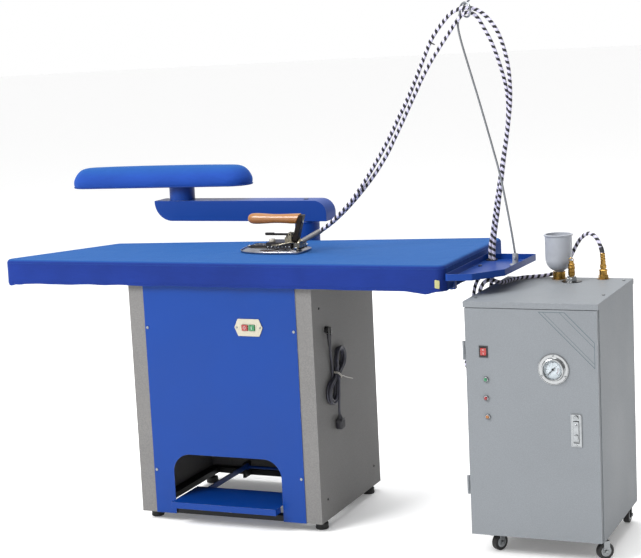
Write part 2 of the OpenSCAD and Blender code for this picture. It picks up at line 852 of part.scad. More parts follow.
module gen_door() {
  x0 = gen_x[0] + 2;
  x1 = gen_x[1] - 2;
  y0 = gen_y[0];
  z0 = gen_foot + 3.5;
  z1 = lip_z - 2;
  color(case_grey) difference() {
    union() {
      difference() {
        block([x0, y0, z0], [x1, y0 + door_t, z1]);
        block([x0 + sheet, y0 + sheet, z0 + sheet], [x1 - sheet, y0 + door_t + 1, z1 - sheet]);
      }
      for (z = [200, 600]) {
        for (dz = [-15, 25.5]) {
          rod_z([door_hinge[0], door_hinge[1], z + dz], 4.5, 14.5);
          block([door_hinge[0], door_hinge[1] - 2, z + dz], [x0 + 1, door_hinge[1] + 2, z + dz + 14.5]);
        }
        rod_z([door_hinge[0], door_hinge[1], z - 14], 2.4, 50);
      }
    }
    rod_y([gauge_at[0], y0 - 1, gauge_at[1]], 27 + fit, 5);
    block([rocker_at[0] - 11, y0 - 1, rocker_at[1] - 15], [rocker_at[0] + 11, y0 + 5, rocker_at[1] + 15]);
    for (p = lamps_at) rod_y([p[0], y0 - 1, p[1]], 6 + fit, 5);
    block([lock_at[0] - 10, y0 - 1, lock_at[1] - 40], [lock_at[0] + 10, y0 + 5, lock_at[1] + 40]);
  }
}

module gauge_case() {
  y0 = gen_y[0];
  color(steel) translate([gauge_at[0], 0, gauge_at[1]]) difference() {
    union() {
      rod_y([0, y0 - 2.5, 0], gauge_d / 2, 2.5);
      rod_y([0, y0 - 13, 0], 32, 12);
      rod_y([0, y0 - 1, 0], 27, 36);
      rod_y([0, y0 + 34, 0], 7, 14);
    }
    rod_y([0, y0 - 14, 0], 27, 9);
    rod_y([0, y0 - 6, 0], 1.5 + fit, 12);
  }
}

module gauge_needle() {
  y0 = gen_y[0];
  color("black") translate([gauge_at[0], 0, gauge_at[1]]) {
    rod_y([0, y0 - 7.6, 0], 1.5, 12);
    rod_y([0, y0 - 8.4, 0], 4, 2);
    rotate([0, 135, 0]) block([-9, y0 - 8, -1.2], [23, y0 - 7, 1.2]);
  }
}

module switch_and_lamp_bodies() {
  y0 = gen_y[0];
  color(dark) {
    translate([rocker_at[0], 0, rocker_at[1]]) difference() {
      union() {
        block([-13, y0 - 2, -17], [13, y0, 17]);
        block([-10.5, y0 - 1, -14.5], [10.5, y0 + 28, 14.5]);
      }
      block([-9, y0 - 3, -12.3], [9, y0 + 16, 12.3]);
      rod_x([-11, y0 + 5, 0], 1.5 + fit, 22);
    }
    for (p = lamps_at) {
      rod_y([p[0], y0 - 1.5, p[1]], 8, 1.5);
      rod_y([p[0], y0 - 5, p[1]], 6, 25);
    }
  }
}

module rocker_switch() {
  y0 = gen_y[0];
  color("#c02a22") translate([rocker_at[0], 0, rocker_at[1]]) {
    block([-8.7, y0 - 3.5, -10.4], [8.7, y0 + 8, 10.4]);
    rod_x([-10.4, y0 + 5, 0], 1.5, 20.8);
  }
}

module lock_plate() {
  y0 = gen_y[0];
  color(steel) translate([lock_at[0], 0, lock_at[1]]) difference() {
    union() {
      block([-15, y0 - 2.5, -47.5], [15, y0, 47.5]);
      block([-9.8, y0 - 1, -39.8], [9.8, y0 + 14, 39.8]);
      rod_y([0, y0 - 5, 37], 6, 5);
    }
    block([-8.5, y0 - 3, -37], [8.5, y0 + 8, 28]);
    rod_x([-10, y0, -33], 1.5 + fit, 20);
  }
}

module lock_handle() {
  y0 = gen_y[0];
  color(steel) translate([lock_at[0], 0, lock_at[1]]) {
    block([-7.5, y0 - 5.5, -31], [7.5, y0 - 0.5, 26]);
    rod_x([-7.5, y0, -33], 2.9, 15);
    rod_x([-9.6, y0, -33], 1.5, 19.2);
  }
}

// ---------- generator fittings ----------

module funnel() {
  r = funnel_d / 2;
  bowl = 38;
  low = gen_h + 23;
  color("#dfe3e8") translate([funnel_at[0], funnel_at[1], low]) rotate_extrude($fn = 64)
    polygon(concat(
      [[9, -15], [12, -15], [12, 3]],
      [for (a = [20 : 10 : 90]) [r * sin(a), bowl * (1 - cos(a))]],
      [[r, 110], [r + 2.5, 110], [r + 2.5, 114], [r - 2.5, 114]],
      [for (a = [90 : -10 : 20]) [(r - 2.5) * sin(a), bowl - (bowl - 2.5) * cos(a)]],
      [[9, 5]]
    ));
}

module safety_valve() {
  x = valve_at[0];
  y = valve_at[1];
  color(brass) {
    rod_z([x, y, 660], 8, gen_h - 659);
    rod_z([x, y, gen_h], 28, 3);
    rod_z([x, y, gen_h + 3], 17, 10);
    rod_z([x, y, gen_h + 13], 11, 42);
    rod_z([x, y, gen_h + 55], 8, 10);
  }
}

module brass_fittings() {
  fx = funnel_at[0];
  fy = funnel_at[1];
  ox = outlet_at[0];
  oy = outlet_at[1];
  low = 700;
  color(brass) {
    difference() {
      union() {
        rod_z([fx, fy, gen_h], 19, 23);
        rod_z([fx, fy, gen_h - 40], 14, 41);
      }
      rod_z([fx, fy, gen_h + 8], 12 + fit, 20);
      rod_z([fx, fy, gen_h - 30], 9, 60);
    }
    rod_z([fx, fy, 560], 7, gen_h - 600);
    bar([fx, fy, 562], [1013.53, 323.65, 562], 6);
    rod_z([ox, oy, low], 7, gen_h - low);
    rod_z([ox, oy, gen_h - 12], 8, 13);
    rod_z([ox, oy, gen_h], 15.5, 12, $fn = 6);
    rod_z([ox, oy, gen_h], 12, 26);
    rod_z([ox, oy, gen_h + 25], 8, 30);
    bar([ox, oy, low + 3], [boiler_at[0], boiler_at[1], low + 3], 6.5);
    rod_z([boiler_at[0], boiler_at[1], 662], 8, low + 4 - 662);
  }
}

module boiler() {
  r = 110;
  color(steel) translate([boiler_at[0], boiler_at[1], 0]) {
    difference() {
      union() {
        rotate_extrude($fn = 64) polygon(concat(
          [[0, 170]],
          [for (a = [15 : 15 : 90]) [r * sin(a), 210 - 40 * cos(a)]],
          [for (a = [90 : -15 : 15]) [r * sin(a), 600 + 40 * cos(a)]],
          [[0, 640]]
        ));
        rod_z([0, 0, 630], 14, 32);
        rod_z([valve_at[0] - boiler_at[0], valve_at[1] - boiler_at[1], 610], 12, 50);
      }
      rotate_extrude($fn = 64) polygon(concat(
        [[0, 174]],
        [for (a = [15 : 15 : 90]) [(r - 4) * sin(a), 210 - 36 * cos(a)]],
        [for (a = [90 : -15 : 15]) [(r - 4) * sin(a), 600 + 36 * cos(a)]],
        [[0, 636]]
      ));
    }
    for (a = [45 : 90 : 315]) rotate(a) translate([88, 0, gen_foot + 3])
      cylinder(r = 9, h = 133);
  }
}

module water_tank() {
  color("#c9d3da") difference() {
    block([838, 110, 68], [950, 330, 330]);
    block([841, 113, 71], [947, 327, 331]);
  }
}

module feed_pump() {
  color(brass) {
    rod_x([850, 20, 108], 34, 92);
    rod_x([941, 20, 108], 26, 40);
    block([860, -6, gen_foot + 3], [930, 46, 90]);
  }
}

// ---------- castors ----------

module fork() {
  color(dark) {
    rod_z([0, 0, 50], 6, 17);
    rod_z([0, 0, 52], 15, 4);
    block([-13, -2, 52], [13, trail + 10, 56]);
    for (s = [-13, 10]) block([s, trail - 9, 18], [s + 3, trail + 10, 53]);
    rod_x([-13, trail, wheel_d / 2], 4, 26);
  }
}

module wheel() {
  color(dark) rotate([0, 90, 0]) translate([0, 0, -wheel_w / 2]) rotate_extrude($fn = 64)
    polygon([
      [4 + fit, 0], [wheel_d / 2 - 2, 0], [wheel_d / 2, 2], [wheel_d / 2, wheel_w - 2],
      [wheel_d / 2 - 2, wheel_w], [4 + fit, wheel_w]
    ]);
}

module front_fork(side) {
  translate([forks_at[side][0], forks_at[side][1], 0]) rotate(fork_turns[side]) fork();
}

module front_wheel(side) {
  translate([forks_at[side][0], forks_at[side][1], wheel_d / 2]) rotate(fork_turns[side])
    translate([0, trail, 0]) wheel();
}

module rear_wheel(side) {
  translate([rear_wheels[side][0], rear_wheels[side][1], wheel_d / 2]) wheel();
}

module castor_fork_left() { front_fork(0); }
module castor_fork_right() { front_fork(1); }
module wheel_front_left() { front_wheel(0); }
module wheel_front_right() { front_wheel(1); }
module wheel_rear_left() { rear_wheel(0); }
module wheel_rear_right() { rear_wheel(1); }

placed() left_side_panel();
placed() right_side_panel();
placed() front_panel();
placed() back_panel();
placed() base_frame();
placed() levelling_feet();
placed() vacuum_box();
placed() table_cover();
placed() blower_housing();
placed() impeller();
placed() blower_motor();
placed() foot_pedal();
placed() pull_rod();
placed() damper_flap();
placed() switch_plate();
placed() start_button();
placed() stop_button();
placed() panel_screws();
placed() mains_cable();
placed() mains_hank();
placed() mains_plug();
placed() cable_glands();
placed() side_tray();
placed() pole_socket();
placed() hose_pole();
placed() column_socket();
placed() swing_arm();
placed() buck_frame();
placed() buck_cover();
placed() iron_soleplate();
placed() iron_body();
placed() iron_bracket();
placed() iron_handle();
placed() iron_trigger();
placed() iron_valve();
placed() iron_knob();
placed() steam_hose();
placed() iron_cable();
placed() gen_base();
placed() gen_shell();
placed() gen_lid();
placed() gen_door();
placed() gauge_case();
placed() gauge_needle();
placed() switch_and_lamp_bodies();
placed() rocker_switch();
placed() lock_plate();
placed() lock_handle();
placed() funnel();
placed() safety_valve();
placed() brass_fittings();
placed() boiler();
placed() water_tank();
placed() feed_pump();
placed() castor_fork_left();
placed() castor_fork_right();
placed() wheel_front_left();
placed() wheel_front_right();
placed() wheel_rear_left();
placed() wheel_rear_right();
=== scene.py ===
"""Visual model of a steam ironing station.

A vacuum ironing table with a padded top and a swinging sleeve arm, the steam iron that stands on
it, the hose pole, and the steam generator that feeds the iron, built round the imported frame.
"""

import logging
import math
from dataclasses import dataclass, field
from enum import Enum
from typing import Callable, Sequence

import bmesh
import bpy
from mathutils import Matrix, Vector, noise


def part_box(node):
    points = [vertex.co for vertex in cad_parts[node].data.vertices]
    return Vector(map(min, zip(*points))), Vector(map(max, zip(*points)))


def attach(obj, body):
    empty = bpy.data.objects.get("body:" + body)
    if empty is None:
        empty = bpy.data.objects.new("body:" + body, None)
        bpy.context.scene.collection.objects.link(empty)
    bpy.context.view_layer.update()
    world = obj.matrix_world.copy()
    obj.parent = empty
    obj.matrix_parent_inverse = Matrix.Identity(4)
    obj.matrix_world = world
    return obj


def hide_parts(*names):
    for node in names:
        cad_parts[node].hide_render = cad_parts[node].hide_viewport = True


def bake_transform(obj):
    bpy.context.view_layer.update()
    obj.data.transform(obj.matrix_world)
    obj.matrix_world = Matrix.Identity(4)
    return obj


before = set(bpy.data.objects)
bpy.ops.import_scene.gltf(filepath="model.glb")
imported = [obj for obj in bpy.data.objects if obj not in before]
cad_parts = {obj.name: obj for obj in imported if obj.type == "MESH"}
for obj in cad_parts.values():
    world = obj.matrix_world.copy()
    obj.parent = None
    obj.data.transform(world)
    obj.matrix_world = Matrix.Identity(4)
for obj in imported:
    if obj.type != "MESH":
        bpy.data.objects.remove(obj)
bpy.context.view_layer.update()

LOG = logging.getLogger("station")
MM = 0.001
NODES: dict[str, bpy.types.Object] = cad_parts

Point = Sequence[float]


class Axis(Enum):
    """The way a turned or pressed piece faces."""

    X = (1.0, 0.0, 0.0)
    Y = (0.0, 1.0, 0.0)
    Z = (0.0, 0.0, 1.0)
    FRONT = (0.0, -1.0, 0.0)
    DOWN = (0.0, 0.0, -1.0)


def table_origin() -> Vector:
    """Returns: the floor point under the middle of the cabinet's front face, in metres."""
    low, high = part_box("front_panel")
    return Vector(((low.x + high.x) / 2, high.y, 0.0))


ORIGIN = table_origin()


def at(point: Point) -> Vector:
    """Places a point of the table's own drawing in the shared frame.

    Args:
        point: millimetres from the middle of the cabinet's front face, on the floor.

    Returns:
        The same point in metres in the shared frame.
    """
    return ORIGIN + Vector(point) * MM


def linear(code: str, gain: float = 1.0) -> tuple[float, float, float, float]:
    """Turns an sRGB hex colour to the linear one that a shader takes.

    Args:
        code: colour such as "#1f56b0".
        gain: factor on its lightness.

    Returns:
        Linear red, green, blue and an alpha of 1.
    """
    parts = [int(code[i : i + 2], 16) / 255 for i in (1, 3, 5)]
    flat = [c / 12.92 if c <= 0.04045 else ((c + 0.055) / 1.055) ** 2.4 for c in parts]
    return (*(min(1.0, c * gain) for c in flat), 1.0)


def per_metre(size_mm: float) -> float:
    """Returns: how many times a pattern of that size in millimetres fits in a metre."""
    return 1.0 / (size_mm * MM)


def add(tree: bpy.types.NodeTree, kind: str, inputs: dict | None = None, **settings) -> bpy.types.Node:
    """Adds one node with its settings and links.

    Args:
        tree: the material's or the world's node tree.
        kind: the node's type without its "ShaderNode" start.
        inputs: socket name or index to a value, or to the output it is linked from.
        **settings: the node's own properties.

    Returns:
        The new node.
    """
    node = tree.nodes.new("ShaderNode" + kind)
    for name, value in settings.items():
        setattr(node, name, value)
    for socket, value in (inputs or {}).items():
        if isinstance(value, bpy.types.NodeSocket):
            tree.links.new(value, node.inputs[socket])
        else:
            node.inputs[socket].default_value = value
    return node


# ---------------------------------------------------------------- finishes


@dataclass(frozen=True)
class Finish:
    """What all finishes share: a name, a colour and how rough the surface is."""

    name: str
    colour: str
    roughness: float

    def dress(self, tree: bpy.types.NodeTree, shader: bpy.types.Node, spot: bpy.types.Node) -> None:
        """Adds the finish's own nodes.

        Args:
            tree: the material's node tree.
            shader: its Principled shader.
            spot: its Texture Coordinate node.
        """
        raise NotImplementedError

    def material(self) -> bpy.types.Material:
        """Returns: the finish's material, made the first time it is asked for."""
        found = bpy.data.materials.get(self.name)
        if found:
            return found
        made = bpy.data.materials.new(self.name)
        made.use_nodes = True
        made.diffuse_color = linear(self.colour)
        tree = made.node_tree
        tree.nodes.clear()
        shader = add(tree, "BsdfPrincipled")
        add(tree, "OutputMaterial", {"Surface": shader.outputs["BSDF"]})
        self.dress(tree, shader, add(tree, "TexCoord"))
        return made

    def tones(
        self, tree: bpy.types.NodeTree, share: bpy.types.NodeSocket, dark: float, light: float
    ) -> bpy.types.NodeSocket:
        """Runs the colour from a darker to a lighter tone.

        Args:
            tree: the material's node tree.
            share: 0 where the dark tone is, 1 where the light one is.
            dark: lightness factor of the dark tone.
            light: lightness factor of the light tone.

        Returns:
            The mixed colour.
        """
        inputs = {0: share, 6: linear(self.colour, dark), 7: linear(self.colour, light)}
        return add(tree, "Mix", inputs, data_type="RGBA").outputs[2]


@dataclass(frozen=True)
class PowderCoat(Finish):
    """Baked powder coat on sheet steel: an orange-peel skin and thin worn edges."""

    peel_mm: float = 3.0
    depth_mm: float = 0.12
    speckle: float = 0.0
    worn: str = "#b9bcc0"

    def dress(self, tree: bpy.types.NodeTree, shader: bpy.types.Node, spot: bpy.types.Node) -> None:
        """Adds the peel, the cloudy tone, the speckle and the rubbed edges."""
        place = spot.outputs["Object"]
        peel = add(tree, "TexNoise", {"Vector": place, "Scale": per_metre(self.peel_mm), "Detail": 2.0})
        cloud = add(tree, "TexNoise", {"Vector": place, "Scale": per_metre(260), "Detail": 3.0})
        # real speckle is 0.5 mm; drawn at 2.5 mm so that it still shows from across the room
        grit = add(tree, "TexNoise", {"Vector": place, "Scale": per_metre(2.5), "Detail": 1.0})
        base = self.tones(tree, cloud.outputs[0], 0.9, 1.1)
        spots = add(
            tree, "MapRange", {"Value": grit.outputs[0], 1: 0.42, 2: 0.62, 3: 1 - self.speckle,
                4: 1 + self.speckle}
        )
        base = add(tree, "VectorMath", {0: base, 3: spots.outputs[0]}, operation="SCALE").outputs[0]
        soft = add(tree, "Bevel", {"Radius": 1.2 * MM}, samples=3)
        true = add(tree, "NewGeometry")
        flat = add(
            tree, "VectorMath", {0: soft.outputs[0], 1: true.outputs["Normal"]}, operation="DOT_PRODUCT"
        )
        rub = add(tree, "TexNoise", {"Vector": place, "Scale": per_metre(18), "Detail": 4.0})
        edge = add(tree, "MapRange", {"Value": flat.outputs["Value"], 1: 0.97, 2: 0.84, 3: 0.0, 4: 1.0})
        patch = add(tree, "MapRange", {"Value": rub.outputs[0], 1: 0.5, 2: 0.66, 3: 0.0, 4: 0.55})
        wear = add(tree, "Math", {0: edge.outputs[0], 1: patch.outputs[0]}, operation="MULTIPLY")
        worn = add(tree, "Mix", {0: wear.outputs[0], 6: base, 7: linear(self.worn)}, data_type="RGBA")
        sheen = add(
            tree, "MapRange", {"Value": cloud.outputs[0], 1: 0.3, 2: 0.7, 3: self.roughness - 0.06,
                4: self.roughness + 0.08}
        )
        bump = add(tree, "Bump", {"Strength": 0.35, "Distance": self.depth_mm * MM, "Height": peel.outputs[0]})
        shader.inputs["IOR"].default_value = 1.5
        tree.links.new(worn.outputs[2], shader.inputs["Base Color"])
        tree.links.new(sheen.outputs[0], shader.inputs["Roughness"])
        shader.inputs["Specular IOR Level"].default_value = 0.22
        tree.links.new(bump.outputs[0], shader.inputs["Normal"])


@dataclass(frozen=True)
class WovenCotton(Finish):
    """Twilled cotton cover cloth: crossing threads, slubs, a painted lighter top that stands in for the light it
    catches, and a soft pale sheen.
    """

    thread_mm: float = 4.0
    crease_mm: float = 90.0
    sheen: str = "#6fb8f0"
    # paler blue painted on level faces as the light the top catches
    faded: str = "#154784"

    def dress(self, tree: bpy.types.NodeTree, shader: bpy.types.Node, spot: bpy.types.Node) -> None:
        """Adds the weave across each face, the slubs, the creases, the sheen and the painted lighter top."""
        place = spot.outputs["Object"]
        way = add(tree, "SeparateXYZ", {0: spot.outputs["Normal"]})
        here = add(tree, "SeparateXYZ", {0: place})
        up = add(tree, "Math", {0: way.outputs[2]}, operation="ABSOLUTE")
        aside = add(tree, "Math", {0: way.outputs[0]}, operation="ABSOLUTE")
        level = add(tree, "Math", {0: up.outputs[0], 1: 0.6}, operation="GREATER_THAN")
        turned = add(tree, "Math", {0: aside.outputs[0], 1: 0.7}, operation="GREATER_THAN")
        warp = add(tree, "Mix", {0: turned.outputs[0], 2: here.outputs[0], 3: here.outputs[1]})
        weft = add(tree, "Mix", {0: level.outputs[0], 2: here.outputs[2], 3: here.outputs[1]})
        # real threads are 0.5 mm apart; drawn coarser, at thread_mm, so that the weave shows
        turn = 2 * math.pi * per_metre(self.thread_mm)
        waves = []
        for run in (warp, weft):
            far = add(tree, "Math", {0: run.outputs[0], 1: turn}, operation="MULTIPLY")
            waves.append(add(tree, "Math", {0: far.outputs[0]}, operation="SINE").outputs[0])
        weave = add(tree, "Math", {0: waves[0], 1: waves[1]}, operation="MULTIPLY")
        slub = add(tree, "Mapping", {"Vector": place, "Scale": (1.0, 7.0, 7.0)})
        slubs = add(tree, "TexNoise", {"Vector": slub.outputs[0], "Scale": per_metre(30), "Detail": 3.0})
        cloud = add(tree, "TexNoise", {"Vector": place, "Scale": per_metre(180), "Detail": 3.0})
        crease = add(
            tree, "TexNoise", {"Vector": place, "Scale": per_metre(self.crease_mm), "Detail": 2.0,
                "Distortion": 0.6}
        )
        tone = add(tree, "Math", {0: weave.outputs[0], 1: 0.07, 2: cloud.outputs[0]}, operation="MULTIPLY_ADD")
        tone = add(tree, "Math", {0: slubs.outputs[0], 1: 0.3, 2: tone.outputs[0]}, operation="MULTIPLY_ADD")
        share = add(tree, "MapRange", {"Value": tone.outputs[0], 1: 0.35, 2: 0.95})
        fine = add(tree, "Bump", {"Strength": 0.3, "Distance": 0.3 * MM, "Height": weave.outputs[0]})
        soft = add(
            tree,
            "Bump",
            {"Strength": 0.5, "Distance": 6 * MM, "Height": crease.outputs[0], "Normal": fine.outputs[0]},
        )
        shader.inputs["IOR"].default_value = 1.45
        shader.inputs["Roughness"].default_value = self.roughness
        shader.inputs["Sheen Weight"].default_value = 0.22
        shader.inputs["Specular IOR Level"].default_value = 0.2
        shader.inputs["Sheen Roughness"].default_value = 0.35
        shader.inputs["Sheen Tint"].default_value = linear(self.sheen)
        # painted light: where the cloth lies level its colour is mixed towards a paler blue, standing in for the
        # light that falls on the top
        painted_top_light = add(tree, "MapRange", {"Value": up.outputs[0], 1: 0.5, 2: 0.98, 3: 0.0, 4: 0.9})
        worn = add(
            tree,
            "Mix",
            {0: painted_top_light.outputs[0], 6: self.tones(tree, share.outputs[0], 0.82, 1.2), 7: linear(self.faded)},
            data_type="RGBA",
        )
        tree.links.new(worn.outputs[2], shader.inputs["Base Color"])
        tree.links.new(soft.outputs[0], shader.inputs["Normal"])


@dataclass(frozen=True)
class BareMetal(Finish):
    """Bare or plated metal: drawn, brushed, cast or turned, with a tarnish that gathers in clouds."""

    tarnish: str = "#6b6c6e"
    grain_mm: tuple[float, float, float] = (3.0, 3.0, 3.0)
    depth_mm: float = 0.05
    blotch_mm: float = 40.0
    stain: float = 0.3

    def dress(self, tree: bpy.types.NodeTree, shader: bpy.types.Node, spot: bpy.types.Node) -> None:
        """Adds the grain along its drawing direction and the tarnish."""
        place = spot.outputs["Object"]
        drawn = add(tree, "Mapping", {"Vector": place, "Scale": tuple(per_metre(g) for g in self.grain_mm)})
        grain = add(tree, "TexNoise", {"Vector": drawn.outputs[0], "Scale": 1.0, "Detail": 3.0})
        blotch = add(tree, "TexNoise", {"Vector": place, "Scale": per_metre(self.blotch_mm), "Detail": 4.0})
        dull = add(tree, "MapRange", {"Value": blotch.outputs[0], 1: 0.45, 2: 0.75, 3: 0.0, 4: self.stain})
        bright = self.tones(tree, grain.outputs[0], 0.86, 1.08)
        mixed = add(tree, "Mix", {0: dull.outputs[0], 6: bright, 7: linear(self.tarnish)}, data_type="RGBA")
        rough = add(
            tree, "MapRange", {"Value": grain.outputs[0], 1: 0.3, 2: 0.7, 3: self.roughness * 0.8,
                4: self.roughness * 1.3}
        )
        bump = add(tree, "Bump", {"Strength": 0.3, "Distance": self.depth_mm * MM, "Height": grain.outputs[0]})
        shader.inputs["Metallic"].default_value = 1.0
        tree.links.new(mixed.outputs[2], shader.inputs["Base Color"])
        tree.links.new(rough.outputs[0], shader.inputs["Roughness"])
        tree.links.new(bump.outputs[0], shader.inputs["Normal"])


@dataclass(frozen=True)
class MouldedPlastic(Finish):
    """Injection-moulded plastic or enamel: a spark-eroded grain under a soft or glossy skin."""

    grain_mm: float = 1.5
    depth_mm: float = 0.03
    ior: float = 1.49
    clear: float = 0.0
    coat: float = 0.0
    glow: float = 0.0
    see_through: float = 0.0

    def dress(self, tree: bpy.types.NodeTree, shader: bpy.types.Node, spot: bpy.types.Node) -> None:
        """Adds the moulded grain, its flow lines and how much light goes through."""
        place = spot.outputs["Object"]
        grain = add(tree, "TexNoise", {"Vector": place, "Scale": per_metre(self.grain_mm), "Detail": 2.0})
        flow = add(tree, "TexNoise", {"Vector": place, "Scale": per_metre(35), "Detail": 2.0,
            "Distortion": 1.2})
        rough = add(
            tree, "MapRange", {"Value": flow.outputs[0], 1: 0.3, 2: 0.7, 3: self.roughness * 0.85,
                4: self.roughness * 1.2}
        )
        bump = add(tree, "Bump", {"Strength": 0.25, "Distance": self.depth_mm * MM, "Height": grain.outputs[0]})
        shader.inputs["IOR"].default_value = self.ior
        shader.inputs["Transmission Weight"].default_value = self.clear
        shader.inputs["Coat Weight"].default_value = self.coat
        shader.inputs["Coat Roughness"].default_value = 0.08
        shader.inputs["Alpha"].default_value = 1.0 - self.see_through
        if self.glow:
            shader.inputs["Emission Color"].default_value = linear(self.colour)
            shader.inputs["Emission Strength"].default_value = self.glow
        tree.links.new(self.tones(tree, flow.outputs[0], 0.92, 1.08), shader.inputs["Base Color"])
        tree.links.new(rough.outputs[0], shader.inputs["Roughness"])
        tree.links.new(bump.outputs[0], shader.inputs["Normal"])


@dataclass(frozen=True)
class Rubber(Finish):
    """Black rubber or soft PVC: matt, with pale scuffs and dust where it has rubbed."""

    scuff: str = "#5a5854"
    scuffed: float = 0.35

    def dress(self, tree: bpy.types.NodeTree, shader: bpy.types.Node, spot: bpy.types.Node) -> None:
        """Adds the scuffs and the pitted skin."""
        place = spot.outputs["Object"]
        rub = add(tree, "TexNoise", {"Vector": place, "Scale": per_metre(12), "Detail": 5.0, "Distortion": 0.8})
        pits = add(tree, "TexNoise", {"Vector": place, "Scale": per_metre(1.6), "Detail": 2.0})
        share = add(tree, "MapRange", {"Value": rub.outputs[0], 1: 0.5, 2: 0.72, 3: 0.0, 4: self.scuffed})
        base = self.tones(tree, pits.outputs[0], 0.85, 1.15)
        mixed = add(tree, "Mix", {0: share.outputs[0], 6: base, 7: linear(self.scuff)}, data_type="RGBA")
        rough = add(
            tree, "MapRange", {"Value": rub.outputs[0], 1: 0.3, 2: 0.7, 3: self.roughness - 0.1,
                4: self.roughness + 0.1}
        )
        bump = add(tree, "Bump", {"Strength": 0.35, "Distance": 0.1 * MM, "Height": pits.outputs[0]})
        shader.inputs["IOR"].default_value = 1.5
        tree.links.new(mixed.outputs[2], shader.inputs["Base Color"])
        tree.links.new(rough.outputs[0], shader.inputs["Roughness"])
        tree.links.new(bump.outputs[0], shader.inputs["Normal"])


@dataclass(frozen=True)
class VarnishedBeech(Finish):
    """Turned and varnished beech: long growth lines along the handle, short dark flecks, a clear coat."""

    dark: str = "#8a4f1c"

    def dress(self, tree: bpy.types.NodeTree, shader: bpy.types.Node, spot: bpy.types.Node) -> None:
        """Adds the growth lines, the flecks and the varnish."""
        place = spot.outputs["Object"]
        # growth rings are 2 to 3 mm apart and run 14 times longer along the grain
        long_way = add(tree, "Mapping", {"Vector": place, "Scale": (0.07, 1.0, 1.0)})
        rings = add(
            tree,
            "TexWave",
            {"Vector": long_way.outputs[0], "Scale": per_metre(16), "Distortion": 6.0, "Detail": 3.0,
                "Detail Scale": 1.6},
            wave_type="RINGS",
            rings_direction="X",
        )
        fleck = add(tree, "Mapping", {"Vector": place, "Scale": (0.12, 1.0, 1.0)})
        flecks = add(tree, "TexNoise", {"Vector": fleck.outputs[0], "Scale": per_metre(1.6), "Detail": 2.0})
        lines = add(tree, "MapRange", {"Value": rings.outputs["Fac"], 3: 0.0, 4: 0.55})
        marks = add(tree, "MapRange", {"Value": flecks.outputs[0], 1: 0.6, 2: 0.75, 3: 0.0, 4: 0.5})
        both = add(tree, "Math", {0: lines.outputs[0], 1: marks.outputs[0]}, operation="MAXIMUM")
        mixed = add(
            tree, "Mix", {0: both.outputs[0], 6: linear(self.colour), 7: linear(self.dark)}, data_type="RGBA"
        )
        rough = add(tree, "MapRange", {"Value": flecks.outputs[0], 3: self.roughness, 4: self.roughness + 0.15})
        bump = add(tree, "Bump", {"Strength": 0.2, "Distance": 0.15 * MM, "Height": flecks.outputs[0]})
        shader.inputs["IOR"].default_value = 1.5
        shader.inputs["Coat Weight"].default_value = 0.5
        shader.inputs["Coat Roughness"].default_value = 0.15
        tree.links.new(mixed.outputs[2], shader.inputs["Base Color"])
        tree.links.new(rough.outputs[0], shader.inputs["Roughness"])
        tree.links.new(bump.outputs[0], shader.inputs["Normal"])


@dataclass(frozen=True)
class CottonBraid(Finish):
    """Braided cotton sleeve of a steam hose: black and pale strands that wind round each other."""

    pale: str = "#c9c6dc"
    pitch_mm: float = 19.0
    strand_mm: float = 3.4
    strands: float = 8.0

    def dress(self, tree: bpy.types.NodeTree, shader: bpy.types.Node, spot: bpy.types.Node) -> None:
        """Adds the two-colour winding, its stepped edges and the raised strands."""
        run = add(tree, "SeparateXYZ", {0: spot.outputs["UV"]})
        turn, along = run.outputs[0], run.outputs[1]
        ply = []
        for way in (1.0, -1.0):
            steps = add(tree, "Math", {0: along, 1: per_metre(self.strand_mm * self.strands / 2)},
                operation="MULTIPLY")
            wound = add(tree, "Math", {0: turn, 1: way, 2: steps.outputs[0]}, operation="MULTIPLY_ADD")
            count = add(tree, "Math", {0: wound.outputs[0], 1: self.strands}, operation="MULTIPLY")
            ply.append(count.outputs[0])
        ridges = []
        for strand in ply:
            half = add(tree, "Math", {0: strand, 1: math.pi}, operation="MULTIPLY")
            wave = add(tree, "Math", {0: half.outputs[0]}, operation="SINE")
            ridges.append(add(tree, "Math", {0: wave.outputs[0]}, operation="ABSOLUTE").outputs[0])
        over = add(tree, "Math", {0: ridges[0], 1: ridges[1]}, operation="MAXIMUM")
        jag = add(tree, "Math", {0: ply[0]}, operation="FRACT")
        stepped = add(tree, "Math", {0: jag.outputs[0], 1: 0.1, 2: turn}, operation="MULTIPLY_ADD")
        wind = add(tree, "Math", {0: along, 1: per_metre(self.pitch_mm), 2: stepped.outputs[0]},
            operation="MULTIPLY_ADD")
        phase = add(tree, "Math", {0: wind.outputs[0]}, operation="FRACT")
        band = add(tree, "Math", {0: phase.outputs[0], 1: 0.5}, operation="GREATER_THAN")
        fuzz = add(tree, "TexNoise", {"Vector": spot.outputs["Object"], "Scale": per_metre(2.2), "Detail": 3.0})
        shade = add(tree, "MapRange", {"Value": fuzz.outputs[0], 1: 0.3, 2: 0.7, 3: 0.75, 4: 1.1})
        mixed = add(
            tree, "Mix", {0: band.outputs[0], 6: linear(self.colour), 7: linear(self.pale)}, data_type="RGBA"
        )
        worn = add(tree, "VectorMath", {0: mixed.outputs[2], 3: shade.outputs[0]}, operation="SCALE")
        bump = add(tree, "Bump", {"Strength": 0.8, "Distance": 0.5 * MM, "Height": over.outputs[0]})
        shader.inputs["Roughness"].default_value = self.roughness
        shader.inputs["Sheen Weight"].default_value = 0.2
        shader.inputs["Sheen Roughness"].default_value = 0.5
        tree.links.new(worn.outputs[0], shader.inputs["Base Color"])
        tree.links.new(bump.outputs[0], shader.inputs["Normal"])


